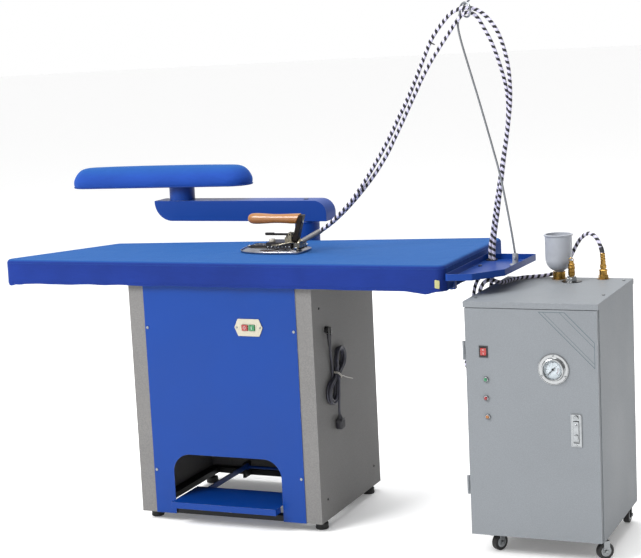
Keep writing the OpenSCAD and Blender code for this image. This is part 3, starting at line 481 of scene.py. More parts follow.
# sheet steel and frame
ROYAL_BLUE = PowderCoat("royal blue powder coat", "#03337c", 0.34, peel_mm=4.0)
SIDE_GREY = PowderCoat("structured grey powder coat", "#6c6b6a", 0.62, peel_mm=2.6, depth_mm=0.3, speckle=0.1)
CASE_GREY = PowderCoat("light grey powder coat", "#75797d", 0.5, peel_mm=3.0, depth_mm=0.2, speckle=0.05)
FRAME_BLACK = PowderCoat("black stove enamel", "#121315", 0.45, worn="#555758")
ZINC_SHEET = BareMetal("galvanised sheet", "#828587", 0.42, tarnish="#5e6264", blotch_mm=22, stain=0.5)
# metals
FAN_STEEL = BareMetal("rolled fan steel", "#767879", 0.4)
MOTOR_CAST = BareMetal("cast aluminium", "#696b6d", 0.6, depth_mm=0.2, stain=0.4)
FLAP_BRASS = BareMetal("rolled brass", "#8b6d33", 0.38, tarnish="#544420")
ZINC_BOLT = BareMetal("zinc-plated steel", "#8a8d8f", 0.3, tarnish="#656869", blotch_mm=6)
SPRING_WIRE = BareMetal("drawn spring steel", "#8e9195", 0.26, grain_mm=(2, 2, 14), blotch_mm=30)
SOLE_STEEL = BareMetal("polished cast sole", "#9b9da5", 0.16, tarnish="#54505e", grain_mm=(30, 2, 2),
    blotch_mm=26, stain=0.55)
BRACKET_STEEL = BareMetal("blackened steel", "#2b2726", 0.42, tarnish="#141211", blotch_mm=14, stain=0.6)
VALVE_METAL = BareMetal("nickelled brass", "#8d8778", 0.26, tarnish="#473f32", blotch_mm=9, stain=0.6)
GAUGE_STEEL = BareMetal("polished stainless", "#a0a2a3", 0.14, grain_mm=(6, 6, 6), depth_mm=0.01, stain=0.15)
LOCK_CHROME = BareMetal("chromed zinc casting", "#989b9d", 0.2, blotch_mm=10, stain=0.3)
TURNED_BRASS = BareMetal("turned brass", "#b08a48", 0.24, tarnish="#5f4416", grain_mm=(5, 5, 0.8), blotch_mm=12,
    stain=0.5)
BOILER_STEEL = BareMetal("welded stainless", "#818384", 0.36, grain_mm=(20, 20, 1.5))
PUMP_BRONZE = BareMetal("cast bronze pump", "#534836", 0.6, tarnish="#2b261e", depth_mm=0.25, stain=0.5)
# plastics and rubber
IVORY = MouldedPlastic("ivory urea plastic", "#a7a291", 0.38)
GREEN_CAP = MouldedPlastic("green button plastic", "#156d3d", 0.3, coat=0.3)
RED_CAP = MouldedPlastic("red button plastic", "#8a1e18", 0.3, coat=0.3)
SOCKET_GREY = MouldedPlastic("grey nylon", "#8e9194", 0.45)
IRON_BLACK = MouldedPlastic("black phenolic", "#130e0d", 0.36, depth_mm=0.08)
KNOB_CREAM = MouldedPlastic("cream knob plastic", "#a5a097", 0.32, coat=0.3)
SWITCH_BLACK = MouldedPlastic("black switch plastic", "#111112", 0.28)
ROCKER_RED = MouldedPlastic("lit red rocker plastic", "#961912", 0.18, clear=0.15, coat=0.5, glow=0.12)
FUNNEL_PP = MouldedPlastic("milky polypropylene", "#b4b8c0", 0.34, clear=0.3, grain_mm=3.0)
NEEDLE_BLACK = MouldedPlastic("black needle paint", "#0a0a0b", 0.4)
TANK_PP = MouldedPlastic("water tank plastic", "#9ba3a8", 0.4, clear=0.2)
LAMP_GREEN = MouldedPlastic("green lamp lens", "#13764b", 0.12, clear=0.25, coat=0.6, glow=0.15)
LAMP_RED = MouldedPlastic("red lamp lens", "#8b1520", 0.12, clear=0.25, coat=0.6, glow=0.15)
LAMP_AMBER = MouldedPlastic("amber lamp lens", "#9b5d1e", 0.12, clear=0.25, coat=0.6, glow=0.15)
DIAL_WHITE = MouldedPlastic("white dial enamel", "#cfd8de", 0.3)
DIAL_INK = MouldedPlastic("black dial ink", "#161920", 0.5)
DIAL_RED = MouldedPlastic("red dial ink", "#8a1b15", 0.5)
LENS = MouldedPlastic("clear gauge cover", "#6a7276", 0.04, depth_mm=0.002, see_through=0.9)
TIE_WHITE = MouldedPlastic("white tie plastic", "#a09c95", 0.4)
TRIM_INK = MouldedPlastic("grey printed line", "#48555a", 0.55)
TAG_PAPER = MouldedPlastic("straw label cloth", "#9b9a69", 0.7, depth_mm=0.1)
MARK_WHITE = MouldedPlastic("white mark ink", "#b4b4b4", 0.45)
FOOT_RUBBER = Rubber("foot rubber", "#111113", 0.7)
TYRE_RUBBER = Rubber("castor tyre", "#181819", 0.6, scuff="#4d4a45")
LEAD_PVC = Rubber("dark grey lead PVC", "#2d2d36", 0.5, scuff="#5a5a76", scuffed=0.25)
PLUG_PVC = Rubber("plug PVC", "#25252b", 0.5)
SLEEVE_PVC = Rubber("grey hose sleeve", "#646261", 0.45, scuff="#7f7d7b")
# cloth, wood and braid
COVER_CLOTH = WovenCotton("blue cover cotton", "#10286e", 0.8)
PAD_CLOTH = WovenCotton("blue pad cotton", "#163c8a", 0.8, crease_mm=60)
PIPING = WovenCotton("dark blue piping", "#132b71", 0.75, thread_mm=3.0, crease_mm=20)
BEECH = VarnishedBeech("varnished beech", "#8a591c", 0.34)
HOSE_BRAID = CottonBraid("black and white hose braid", "#0e0d12", 0.8)
CABLE_BRAID = CottonBraid("black and white cable braid", "#0e0d12", 0.8, pitch_mm=20.0, strand_mm=3.2)
FLOOR_PLASTER = MouldedPlastic("pale studio floor", "#fcfcfc", 0.85, grain_mm=8, glow=0.16)


# ---------------------------------------------------------------- mesh maker


def unit(v: Vector) -> Vector:
    """Returns: the vector at a length of one."""
    return v.normalized()


def rounded(points: Sequence[Point], radius: float, steps: int = 6) -> list[tuple[float, float]]:
    """Rounds the corners of a convex outline.

    Args:
        points: corners in order, in plan.
        radius: corner radius.
        steps: parts of each corner's arc.

    Returns:
        The rounded outline.
    """
    out = []
    for i, corner in enumerate(points):
        p, last, after = Vector(corner), Vector(points[i - 1]), Vector(points[(i + 1) % len(points)])
        a, b = unit(last - p), unit(after - p)
        half = math.acos(max(-1.0, min(1.0, a.dot(b)))) / 2
        centre = p + unit(a + b) * radius / math.sin(half)
        start = p + a * radius / math.tan(half) - centre
        turn = math.pi - 2 * half
        for k in range(steps + 1):
            t = turn * k / steps
            c, s = math.cos(t), math.sin(t)
            out.append((centre.x + start.x * c - start.y * s, centre.y + start.x * s + start.y * c))
    return out


def finely(outline: Sequence[Point], spacing: float) -> list[tuple[float, float]]:
    """Adds points to the long sides of a closed outline.

    Args:
        outline: points in order, in plan.
        spacing: the longest side left.

    Returns:
        The outline with the added points.
    """
    out = []
    for i, point in enumerate(outline):
        p, q = Vector(point), Vector(outline[(i + 1) % len(outline)])
        parts = max(1, math.ceil((q - p).length / spacing))
        out += [tuple(p.lerp(q, k / parts)) for k in range(parts)]
    return out


def smooth_route(route: Sequence[Point], spacing: float) -> list[Vector]:
    """Draws one smooth curve through the points of a route.

    Args:
        route: the points it passes through.
        spacing: distance between the points of the result.

    Returns:
        Points along the curve, both ends included.
    """
    p = [Vector(q) for q in route]
    p = [2 * p[0] - p[1], *p, 2 * p[-1] - p[-2]]
    dense = []
    for i in range(1, len(p) - 2):
        a, b, c, d = p[i - 1 : i + 3]
        for k in range(12):
            t = k / 12
            dense.append(
                0.5 * (2 * b + (c - a) * t + (2 * a - 5 * b + 4 * c - d) * t**2 + (3 * b - a - 3 * c + d) * t**3)
            )
    dense.append(p[-2])
    total = sum((dense[i + 1] - dense[i]).length for i in range(len(dense) - 1))
    count = max(4, round(total / spacing))
    out, walked, i = [dense[0]], 0.0, 0
    for k in range(1, count):
        goal = total * k / count
        while walked + (dense[i + 1] - dense[i]).length < goal:
            walked += (dense[i + 1] - dense[i]).length
            i += 1
        out.append(dense[i].lerp(dense[i + 1], (goal - walked) / (dense[i + 1] - dense[i]).length))
    return [*out, dense[-1]]


def length_of(route: Sequence[Vector]) -> float:
    """Returns: the length of a route, in the unit of its points."""
    return sum((b - a).length for a, b in zip(route, route[1:]))


@dataclass
class Shape:
    """Points and faces of one mesh, gathered in the table's millimetres before it is made."""

    points: list[Vector] = field(default_factory=list)
    faces: list[tuple[int, ...]] = field(default_factory=list)
    unwrapped: dict[int, list[tuple[float, float]]] = field(default_factory=dict)

    def loft(self, rings: Sequence[Sequence[Point]], caps: tuple[bool, bool] = (True, True)) -> "Shape":
        """Skins closed rings of the same count, one after another.

        Args:
            rings: the rings; a ring of one point closes to that point.
            caps: whether the first and the last ring are filled.

        Returns:
            The shape itself.
        """
        starts, sizes = [], []
        for ring in rings:
            starts.append(len(self.points))
            sizes.append(len(ring))
            self.points += [Vector(p) for p in ring]
        n = max(sizes)
        for a, b, size_a, size_b in zip(starts, starts[1:], sizes, sizes[1:]):
            for k in range(n):
                j = (k + 1) % n
                if size_a == 1:
                    self.faces.append((a, b + k, b + j))
                elif size_b == 1:
                    self.faces.append((a + k, b, a + j))
                else:
                    self.faces.append((a + k, b + k, b + j, a + j))
        if caps[0] and sizes[0] > 1:
            self.faces.append(tuple(starts[0] + k for k in range(n)))
        if caps[1] and sizes[-1] > 1:
            self.faces.append(tuple(starts[-1] + k for k in reversed(range(n))))
        return self

    def lathe(self, profile: Sequence[Point], base: Point, axis: Axis | Vector = Axis.Z,
        count: int = 40) -> "Shape":
        """Turns a profile round an axis; one whose ends are both off the axis closes into a ring.

        Args:
            profile: (radius, distance along the axis) from one end to the other.
            base: where the axis starts.
            axis: the way it points.
            count: sides of the turning; 6 makes a hexagon.

        Returns:
            The shape itself.
        """
        way = Vector(axis.value) if isinstance(axis, Axis) else axis
        side = way.orthogonal().normalized()
        other = way.cross(side)
        hollow = profile[0][0] > 0 and profile[-1][0] > 0
        rings = []
        for r, h in [*profile, profile[0]] if hollow and profile[0] != profile[-1] else profile:
            foot = Vector(base) + way * h
            if r <= 0.0:
                rings.append([foot])
                continue
            turns = [2 * math.pi * k / count for k in range(count)]
            rings.append([foot + r * (math.cos(t) * side + math.sin(t) * other) for t in turns])
        return self.loft(rings, (not hollow, not hollow))

    def tube(self, route: Sequence[Vector], radius: float | Sequence[float], sides: int = 12) -> "Shape":
        """Sweeps a round section along a route and unwraps it: turns across, metres along.

        Args:
            route: points of the middle line.
            radius: one radius, or one for each point.
            sides: sides of the section.

        Returns:
            The shape itself.
        """
        first, face = len(self.points), len(self.faces)
        radii = [radius] * len(route) if isinstance(radius, (int, float)) else list(radius)
        ahead = unit(route[1] - route[0])
        across = unit(ahead.orthogonal())
        walked, marks, rings = 0.0, [], []
        for i, p in enumerate(route):
            before, after = route[max(0, i - 1)], route[min(len(route) - 1, i + 1)]
            ahead = unit(after - before)
            across = unit(across - across.dot(ahead) * ahead)
            other = ahead.cross(across)
            walked += (p - route[i - 1]).length * MM if i else 0.0
            marks.append(walked)
            turns = [2 * math.pi * k / sides for k in range(sides)]
            rings.append([p + radii[i] * (math.cos(t) * across + math.sin(t) * other) for t in turns])
        self.loft(rings)
        for i in range(len(route) - 1):
            for k in range(sides):
                left, right = k / sides, (k + 1) / sides
                self.unwrapped[face + i * sides + k] = [
                    (left, marks[i]), (left, marks[i + 1]), (right, marks[i + 1]), (right, marks[i])
                ]
        assert first < len(self.points)
        return self

    def slab(
        self, outline: Sequence[Point], low: float, high: float, edge: float, axis: Axis = Axis.Z
    ) -> "Shape":
        """Raises an outline to a plate whose two rims are eased.

        Args:
            outline: points in plan; for a plate that faces the front they are x and z.
            low: where it starts along the axis.
            high: where it ends.
            edge: size of the eased rim.
            axis: Z for a level plate, X for one on a side, FRONT for one on a front face.

        Returns:
            The shape itself.
        """
        middle = sum((Vector(p) for p in outline), Vector((0.0, 0.0))) / len(outline)
        far = max((Vector(p) - middle).length for p in outline)
        rings = []
        for inset, h in ((edge, low), (edge * 0.3, low + edge * 0.3), (0.0, low + edge), (0.0, high - edge),
                         (edge * 0.3, high - edge * 0.3), (edge, high)):
            ring = [middle + (Vector(p) - middle) * (1 - inset / far) for p in outline]
            if axis is Axis.Z:
                rings.append([(p.x, p.y, h) for p in ring])
            elif axis is Axis.X:
                rings.append([(h, p.x, p.y) for p in ring])
            else:
                rings.append([(p.x, -h, p.y) for p in ring])
        return self.loft(rings)

    def block(self, low: Point, high: Point, edge: float = 0.8) -> "Shape":
        """Adds a box with eased edges between two corners.

        Args:
            low: the lowest corner.
            high: the highest corner.
            edge: radius of its upright edges and rims.

        Returns:
            The shape itself.
        """
        corners = [(low[0], low[1]), (high[0], low[1]), (high[0], high[1]), (low[0], high[1])]
        return self.slab(rounded(corners, edge, 3), low[2], high[2], edge * 0.8)

    def shift(self, move: Callable[[Vector], Vector]) -> "Shape":
        """Moves every point by a rule.

        Args:
            move: gives each point's new place.

        Returns:
            The shape itself.
        """
        self.points = [move(p) for p in self.points]
        return self

    def piece(self, name: str, finish: Finish, body: str | None, slot: str,
        sharp: float = 35.0) -> bpy.types.Object:
        """Makes the mesh, dresses it and lets it ride.

        Args:
            name: the piece's name.
            finish: its surface finish.
            body: the body it rides on, or None, where it is attached afterwards or rides on no body.
            slot: the record's material slot; not used.
            sharp: faces that meet at more degrees than this keep a crisp edge.

        Returns:
            The new object.
        """
        mesh = bpy.data.meshes.new(name)
        mesh.from_pydata([at(p) for p in self.points], [], self.faces)
        if self.unwrapped:
            layer = mesh.uv_layers.new(name="run")
            for i, corners in self.unwrapped.items():
                for loop, uv in zip(mesh.polygons[i].loop_indices, corners):
                    layer.data[loop].uv = uv
        mesh.validate()
        made = bpy.data.objects.new(name, mesh)
        bpy.context.scene.collection.objects.link(made)
        outward(mesh)
        mesh.shade_smooth()
        mesh.set_sharp_from_angle(angle=math.radians(sharp))
        mesh.materials.append(finish.material())
        if body:
            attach(made, body)
        LOG.info("%s: %d faces, rides on %s", name, len(mesh.polygons), body or "two bodies")
        return made


def outward(mesh: bpy.types.Mesh) -> None:
    """Turns every face of a mesh to look outwards.

    Args:
        mesh: the mesh to set right.
    """
    work = bmesh.new()
    work.from_mesh(mesh)
    bmesh.ops.remove_doubles(work, verts=work.verts, dist=0.001 * MM)
    bmesh.ops.recalc_face_normals(work, faces=work.faces)
    work.to_mesh(mesh)
    work.free()


def dress(node: str, finish: Finish, edge_mm: float = 0.0) -> bpy.types.Object:
    """Gives a part of the frame its finish and, where asked, eased edges.

    Args:
        node: the part's name.
        finish: its surface finish.
        edge_mm: width of the eased edges; 0 leaves them crisp.

    Returns:
        The part's object.
    """
    part = NODES[node]
    mesh = part.data
    mesh.materials.clear()
    mesh.materials.append(finish.material())
    mesh.polygons.foreach_set("material_index", [0] * len(mesh.polygons))
    if "custom_normal" in mesh.attributes:
        mesh.attributes.remove(mesh.attributes["custom_normal"])
    mesh.shade_smooth()
    weld = part.modifiers.new("weld", "WELD")
    weld.merge_threshold = 0.005 * MM
    if edge_mm:
        flat = part.modifiers.new("flat", "DECIMATE")
        flat.decimate_type = "DISSOLVE"
        flat.angle_limit = math.radians(0.8)
        ease = part.modifiers.new("ease", "BEVEL")
        ease.width = edge_mm * MM
        ease.segments = 2
        ease.limit_method = "ANGLE"
        ease.angle_limit = math.radians(38)
        even = part.modifiers.new("even", "WEIGHTED_NORMAL")
        even.keep_sharp = True
    else:
        crisp = part.modifiers.new("crisp", "EDGE_SPLIT")
        crisp.split_angle = math.radians(32)
    return part


# ---------------------------------------------------------------- studio


@dataclass
class Studio:
    """Pale floor, soft lights and the camera."""

    place: Point = (2316.2, -4542.1, 1575.3)
    lens_mm: float = 93.21
    pitch: float = math.radians(-8.888)
    yaw: float = math.radians(23.4)
    roll: float = math.radians(-2.827)
    floor_m: float = 60.0
    room: float = 1.0
    flag: float = 0.3
    lights: tuple[tuple[str, Point, Point, float, float], ...] = (
        ("key", (-2.6, -4.4, 4.6), (0.0, 0.0, 0.7), 2.6, 420.0),
        ("top", (0.2, 0.6, 4.8), (0.0, 0.2, 0.8), 3.0, 150.0),
        ("fill", (4.6, -2.4, 2.2), (0.4, 0.0, 0.6), 2.6, 12.0),
    )

    def camera(self) -> None:
        """Sets the camera up."""
        ahead = Vector(
            (-math.sin(self.yaw) * math.cos(self.pitch), math.cos(self.yaw) * math.cos(self.pitch),
                math.sin(self.pitch))
        )
        level = Vector((math.cos(self.yaw), math.sin(self.yaw), 0.0))
        above = level.cross(ahead)
        c, s = math.cos(self.roll), math.sin(self.roll)
        right, up = c * level + s * above, c * above - s * level
        data = bpy.data.cameras.new("camera")
        data.lens, data.sensor_width = self.lens_mm, 36.0
        data.clip_start, data.clip_end = 0.1, 200.0
        made = bpy.data.objects.new("camera", data)
        made.matrix_world = Matrix.Translation(at(self.place)) @ Matrix((right, up,
            -ahead)).transposed().to_4x4()
        bpy.context.scene.collection.objects.link(made)
        bpy.context.scene.camera = made

    def floor(self) -> None:
        """Lays the pale floor."""
        mesh = bpy.data.meshes.new("floor")
        ring = [(math.cos(t) * self.floor_m, math.sin(t) * self.floor_m, -0.0004) for t in
                (2 * math.pi * k / 48 for k in range(48))]
        mesh.from_pydata(ring, [], [tuple(range(48))])
        mesh.materials.append(FLOOR_PLASTER.material())
        made = bpy.data.objects.new("floor", mesh)
        bpy.context.scene.collection.objects.link(made)

    def light(self, name: str, place: Point, aim: Point, size: float, watts: float) -> None:
        """Hangs one soft square light.

        Args:
            name: the light's name.
            place: where it hangs, in metres.
            aim: the point it faces.
            size: its side in metres.
            watts: its power.
        """
        data = bpy.data.lights.new(name, "AREA")
        data.size, data.energy = size, watts
        made = bpy.data.objects.new(name, data)
        made.location = place
        made.rotation_mode = "QUATERNION"
        made.rotation_quaternion = (Vector(aim) - Vector(place)).to_track_quat("-Z", "Y")
        bpy.context.scene.collection.objects.link(made)

    def build(self) -> None:
        """Makes the whole studio."""
        scene = bpy.context.scene
        scene.view_settings.view_transform = "Standard"
        world = bpy.data.worlds.new("soft white room")
        world.use_nodes = True
        world.node_tree.nodes.clear()
        tree = world.node_tree
        # a dark flag hangs at the right, so that the sides facing it fall into shade
        around = add(tree, "SeparateXYZ", {0: add(tree, "TexCoord").outputs["Generated"]})
        flagged = add(tree, "MapRange", {"Value": around.outputs[0], 1: 0.1, 2: 0.8, 3: self.room,
            4: self.flag})
        room = add(tree, "Background", {"Color": (1.0, 1.0, 1.0, 1.0), "Strength": flagged.outputs[0]})
        add(tree, "OutputWorld", {"Surface": room.outputs[0]})
        scene.world = world
        self.camera()
        self.floor()
        for light in self.lights:
            self.light(*light)


# ---------------------------------------------------------------- cords


@dataclass
class MainsLead:
    """The table's mains lead: out of its gland, wound into a tied hank on the side panel, to its plug."""

    radius: float = 4.0
    spacing: float = 5.0
    waist: tuple[float, float] = (146.0, 473.0)
    along: tuple[float, float] = (0.57, 0.8215)
    reach: float = 59.6
    loops: tuple[tuple[float, float, float], ...] = (
        (35.0, 13.0, 321.6), (25.5, 4.4, 321.6), (25.5, 4.4, 330.2), (35.0, 13.0, 330.2), (35.0, 13.0, 333.0),
    )
    first: tuple[Point, ...] = (
        (328, 98, 618), (328, 98, 604), (328, 99, 590), (327, 102, 572), (326, 107, 554), (324, 113, 536),
        (322.5, 121, 516),
    )
    last: tuple[Point, ...] = (
        (336.6, 141, 466), (336.8, 138, 440), (336.4, 137, 415), (335, 138, 396), (331.5, 143, 374),
        (328.6, 149.5, 356), (328, 153, 340), (328, 153, 330),
    )

    def spot(self, up: float, aside: float, x: float) -> tuple[float, float, float]:
        """Returns: the point that far up the hank's own axis and beside it."""
        a, b = self.along
        return (x, self.waist[0] + a * up + b * aside, self.waist[1] + b * up - a * aside)

    def turn(self, share: float) -> tuple[float, float, float]:
        """Gives a point of the winding.

        Args:
            share: turns wound so far; each starts at the waist and goes down on the left.

        Returns:
            The point on the table's drawing.
        """
        count = min(int(share), len(self.loops) - 2)
        part = share - count
        ease = max(0.0, min(1.0, (part - 0.6) / 0.4))
        ease = ease * ease * (3 - 2 * ease)
        wide, tight, x = (a + (b - a) * ease for a, b in zip(self.loops[count], self.loops[count + 1]))
        strand, arc = self.reach, math.pi * wide
        far = part * (4 * strand + 2 * arc)
        for sign, start in ((-1, 0.0), (1, 2 * strand + arc)):
            here = far - start
            side = -1 if sign < 0 else 1
            if here <= strand:
                swell = tight + (wide - tight) * (1 - math.cos(math.pi * here / strand)) / 2
                return self.spot(sign * here, side * swell, x)
            if here <= strand + arc:
                angle = (here - strand) / wide
                return self.spot(sign * (strand + wide * math.sin(angle)), side * wide * math.cos(angle), x)
            if here <= 2 * strand + arc:
                back = 2 * strand + arc - here
                swell = tight + (wide - tight) * (1 - math.cos(math.pi * back / strand)) / 2
                return self.spot(sign * back, -side * swell, x)
        return self.spot(0.0, -tight, x)

    def build(self) -> None:
        """Makes the lead, its tie, its strain relief and its plug."""
        wound = [self.turn(k / 30) for k in range(1, 120)]
        route = smooth_route([*self.first, *wound, *self.last], self.spacing)
        lead = Shape().tube(route, self.radius, 10).piece("mains_lead", LEAD_PVC, "stand", "black_pvc", 60)
        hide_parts("mains_cable", "mains_hank")
        plug = self.plug()
        tie = self.tie()
        relief = smooth_route([(328, 98, 616), (328, 98, 600), (328, 99, 588), (327, 102, 574)], 3.0)
        sizes = [8.0 - 3.2 * k / (len(relief) - 1) + (0.5 if k % 3 == 0 else 0.0) for k in range(len(relief))]
        boot = Shape().tube(relief, sizes, 16).piece("mains_strain_relief", PLUG_PVC, "stand", "black_pvc")
        LOG.info("mains lead is %.2f m long", length_of(route) * MM)

    def plug(self) -> bpy.types.Object:
        """Returns: the moulded plug with its two round pins."""
        shape = Shape()
        face = rounded([(138, 297), (170, 297), (170, 331), (138, 331)], 9, 5)
        shape.slab(face, 317.5, 339.5, 4.0, Axis.X)
        shape.lathe([(0, 0), (9, 0), (8.6, 5), (6.4, 9), (6.6, 10), (5.4, 11), (5.2, 14), (0, 14)],
            (328, 153, 330))
        for z in (305, 324):
            shape.lathe([(0, 0), (5, 0), (5, 1.5), (2.4, 2), (2.4, 17), (1.6, 19), (0, 19.2)], (328, 169.5, z),
                Axis.Y, 20)
        for k in range(5):
            shape.block((339.2, 143 + 5 * k, 303), (340.2, 145.4 + 5 * k, 325), 0.5)
        plug = shape.piece("mains_plug_body", PLUG_PVC, "stand", "black_pvc")
        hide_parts("mains_plug")
        return plug

    def tie(self) -> bpy.types.Object:
        """Returns: the white tie round the hank's waist, with its long loose end."""
        shape = Shape()
        for lift in (-2.2, 1.4):
            band = []
            for k in range(33):
                t = 2 * math.pi * k / 32
                c, s = math.cos(t), math.sin(t)
                reach = (abs(c) ** 3.2 + abs(s) ** 3.2) ** (-1 / 3.2)
                band.append(Vector(self.spot(lift + 2 * k / 32, 18.6 * reach * c, 329.2 + 11.3 * reach * s)))
            shape.tube(band, 1.3, 8)
        loose = [(340, 150, 470), (339, 172, 465), (334, 196, 457), (330, 222, 449), (328, 250, 441),
            (328, 272, 434)]
        shape.tube(smooth_route(loose, 8.0), 1.4, 8)
        return shape.piece("hank_tie", TIE_WHITE, "stand", "black_pvc", 60)


@dataclass
class SteamLines:
    """The braided steam hose and the iron's cable, over the pole's ring and down to the generator."""

    hose_r: float = 6.0
    cable_r: float = 5.5
    spacing: float = 8.0
    hose: tuple[Point, ...] = (
        (207.5, 208.5, 888), (228, 212, 899), (256, 218, 914), (290, 226, 937), (325, 232, 968),
        (362, 238, 1006), (395, 243, 1048), (425, 248, 1092), (452, 252, 1134), (478, 255, 1176),
        (502, 258, 1218), (525, 260, 1262), (548, 262, 1304), (570, 264, 1348), (592, 266, 1396),
        (614, 268, 1446), (640, 270, 1500), (673, 272, 1544), (710, 270, 1578), (751, 280, 1588),
        (788, 288, 1576), (820, 295, 1544), (842, 302, 1504), (856, 310, 1454), (864, 318, 1400),
        (865, 326, 1346), (861, 334, 1294), (852, 341, 1240), (842, 347, 1186), (831, 351, 1126),
        (821, 355, 1066), (811, 358, 1010), (801, 362, 950), (790, 367, 896), (783, 371, 850),
        (780, 374, 805), (778, 369, 766), (774, 352, 722), (770, 326, 676), (768, 292, 640),
        (770, 252, 622), (776, 212, 626), (786, 180, 648), (796, 160, 684), (801, 150, 724),
        (808, 146, 757), (823, 150, 778), (840, 166, 779), (852, 190, 769), (860, 222, 764),
        (866, 256, 764), (876, 290, 764), (898, 320, 764), (930, 341, 764), (962, 361, 766),
        (988, 382, 775), (1008, 395, 796), (1024, 398, 825), (1040, 394, 854), (1058, 387, 878),
        (1080, 378, 892), (1101, 368, 888), (1117, 360, 870), (1128, 355, 842), (1131, 354, 812),
    )
    cable: tuple[Point, ...] = (
        (201.5, 228.5, 887), (224, 231, 897), (254, 235, 912), (290, 242, 936), (326, 247, 966),
        (363, 252, 1002), (398, 256, 1040), (430, 259, 1078), (460, 261, 1118), (487, 263, 1160),
        (510, 264, 1202), (534, 265, 1246), (558, 266, 1292), (582, 267, 1338), (606, 268, 1384),
        (634, 269, 1430), (664, 271, 1474), (693, 272, 1513), (722, 272, 1551), (749, 280, 1574),
        (778, 285, 1562), (802, 293, 1519), (819, 300, 1482), (832, 310, 1438), (843, 322, 1390),
        (850, 334, 1342), (850, 346, 1288), (843, 356, 1226), (832, 363, 1170), (820, 368, 1116),
        (809, 372, 1062), (798, 375, 1008), (787, 377, 950), (778, 378, 896), (770, 377, 850),
        (768, 374, 805), (765, 364, 783), (758, 342, 767), (748, 314, 757), (744, 290, 738),
        (744, 270, 708), (746, 250, 672), (750, 230, 636), (752, 206, 600), (752, 180, 566),
        (753, 154, 538), (760, 131, 522), (777, 116, 513), (803, 110, 510),
    )
    hand: Point = (207.0, 215.0, 888.0)
    held: Point = (740.0, 215.0, 888.0)

    def follow(self, piece: bpy.types.Object) -> bpy.types.Object:
        """Bakes a piece's placement into its mesh, so that it rides on no body.

        Args:
            piece: a hose, cable or sleeve.

        Returns:
            The piece.
        """
        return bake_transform(piece)

    def line(self, name: str, node: str, route: Sequence[Point], radius: float, finish: Finish) -> None:
        """Makes one braided line with its sleeve at the iron.

        Args:
            name: what the line is called.
            node: the frame's solid that it stands for.
            route: the points it follows.
            radius: its radius.
            finish: its braid.
        """
        path = smooth_route(route, self.spacing)
        braid = Shape().tube(path, radius, 14).piece(f"{name}_braid", finish, None, "braided_hose", 60)
        self.follow(braid)
        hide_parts(node)
        near = smooth_route(route, 2.0)[:34]
        cuff = [radius + 1.9 + (0.5 if k % 4 == 0 else 0.0) - 1.2 * max(0, k - 26) / 7
            for k in range(len(near))]
        sleeve = Shape().tube(near, cuff, 18).piece(f"{name}_sleeve", SLEEVE_PVC, None, "braided_hose")
        self.follow(sleeve)
        LOG.info("%s is %.2f m long", name, length_of(path) * MM)

    def build(self) -> None:
        """Makes both lines and their end fittings."""
        self.line("steam_hose", "steam_hose", self.hose, self.hose_r, HOSE_BRAID)
        self.line("iron_cable", "iron_cable", self.cable, self.cable_r, CABLE_BRAID)
        end = smooth_route(self.hose, 2.0)[-22:]
        dark = Shape().tube(end[:9], [7.0 + 0.4 * (k % 2) for k in range(9)], 18)
        dark.piece("hose_end_band", PLUG_PVC, "stand", "braided_hose")
        crimp = [7.2 + (0.9 if k % 4 in (1, 2) else 0.0) for k in range(13)]
        Shape().tube(end[9:], crimp, 24).piece("hose_crimp", TURNED_BRASS, "stand", "fitting_brass", 30)
        ties = Shape()
        for point, ahead in (((640, 269.6, 1485), (0.5, 0.04, 0.86)), ((400, 249, 1046), (0.62, 0.07, 0.78))):
            way = unit(Vector(ahead))
            across = unit(way.cross(Vector((0, 1, 0))))
            other = way.cross(across)
            band = [Vector(point) + 12 * math.cos(t) * other + 8.6 * math.sin(t) * across + way * t * 0.3
                    for t in (2 * math.pi * k / 28 for k in range(29))]
            ties.tube(band, 1.1, 8)
        self.follow(ties.piece("line_ties", SWITCH_BLACK, None, "braided_hose", 60))


# ---------------------------------------------------------------- table


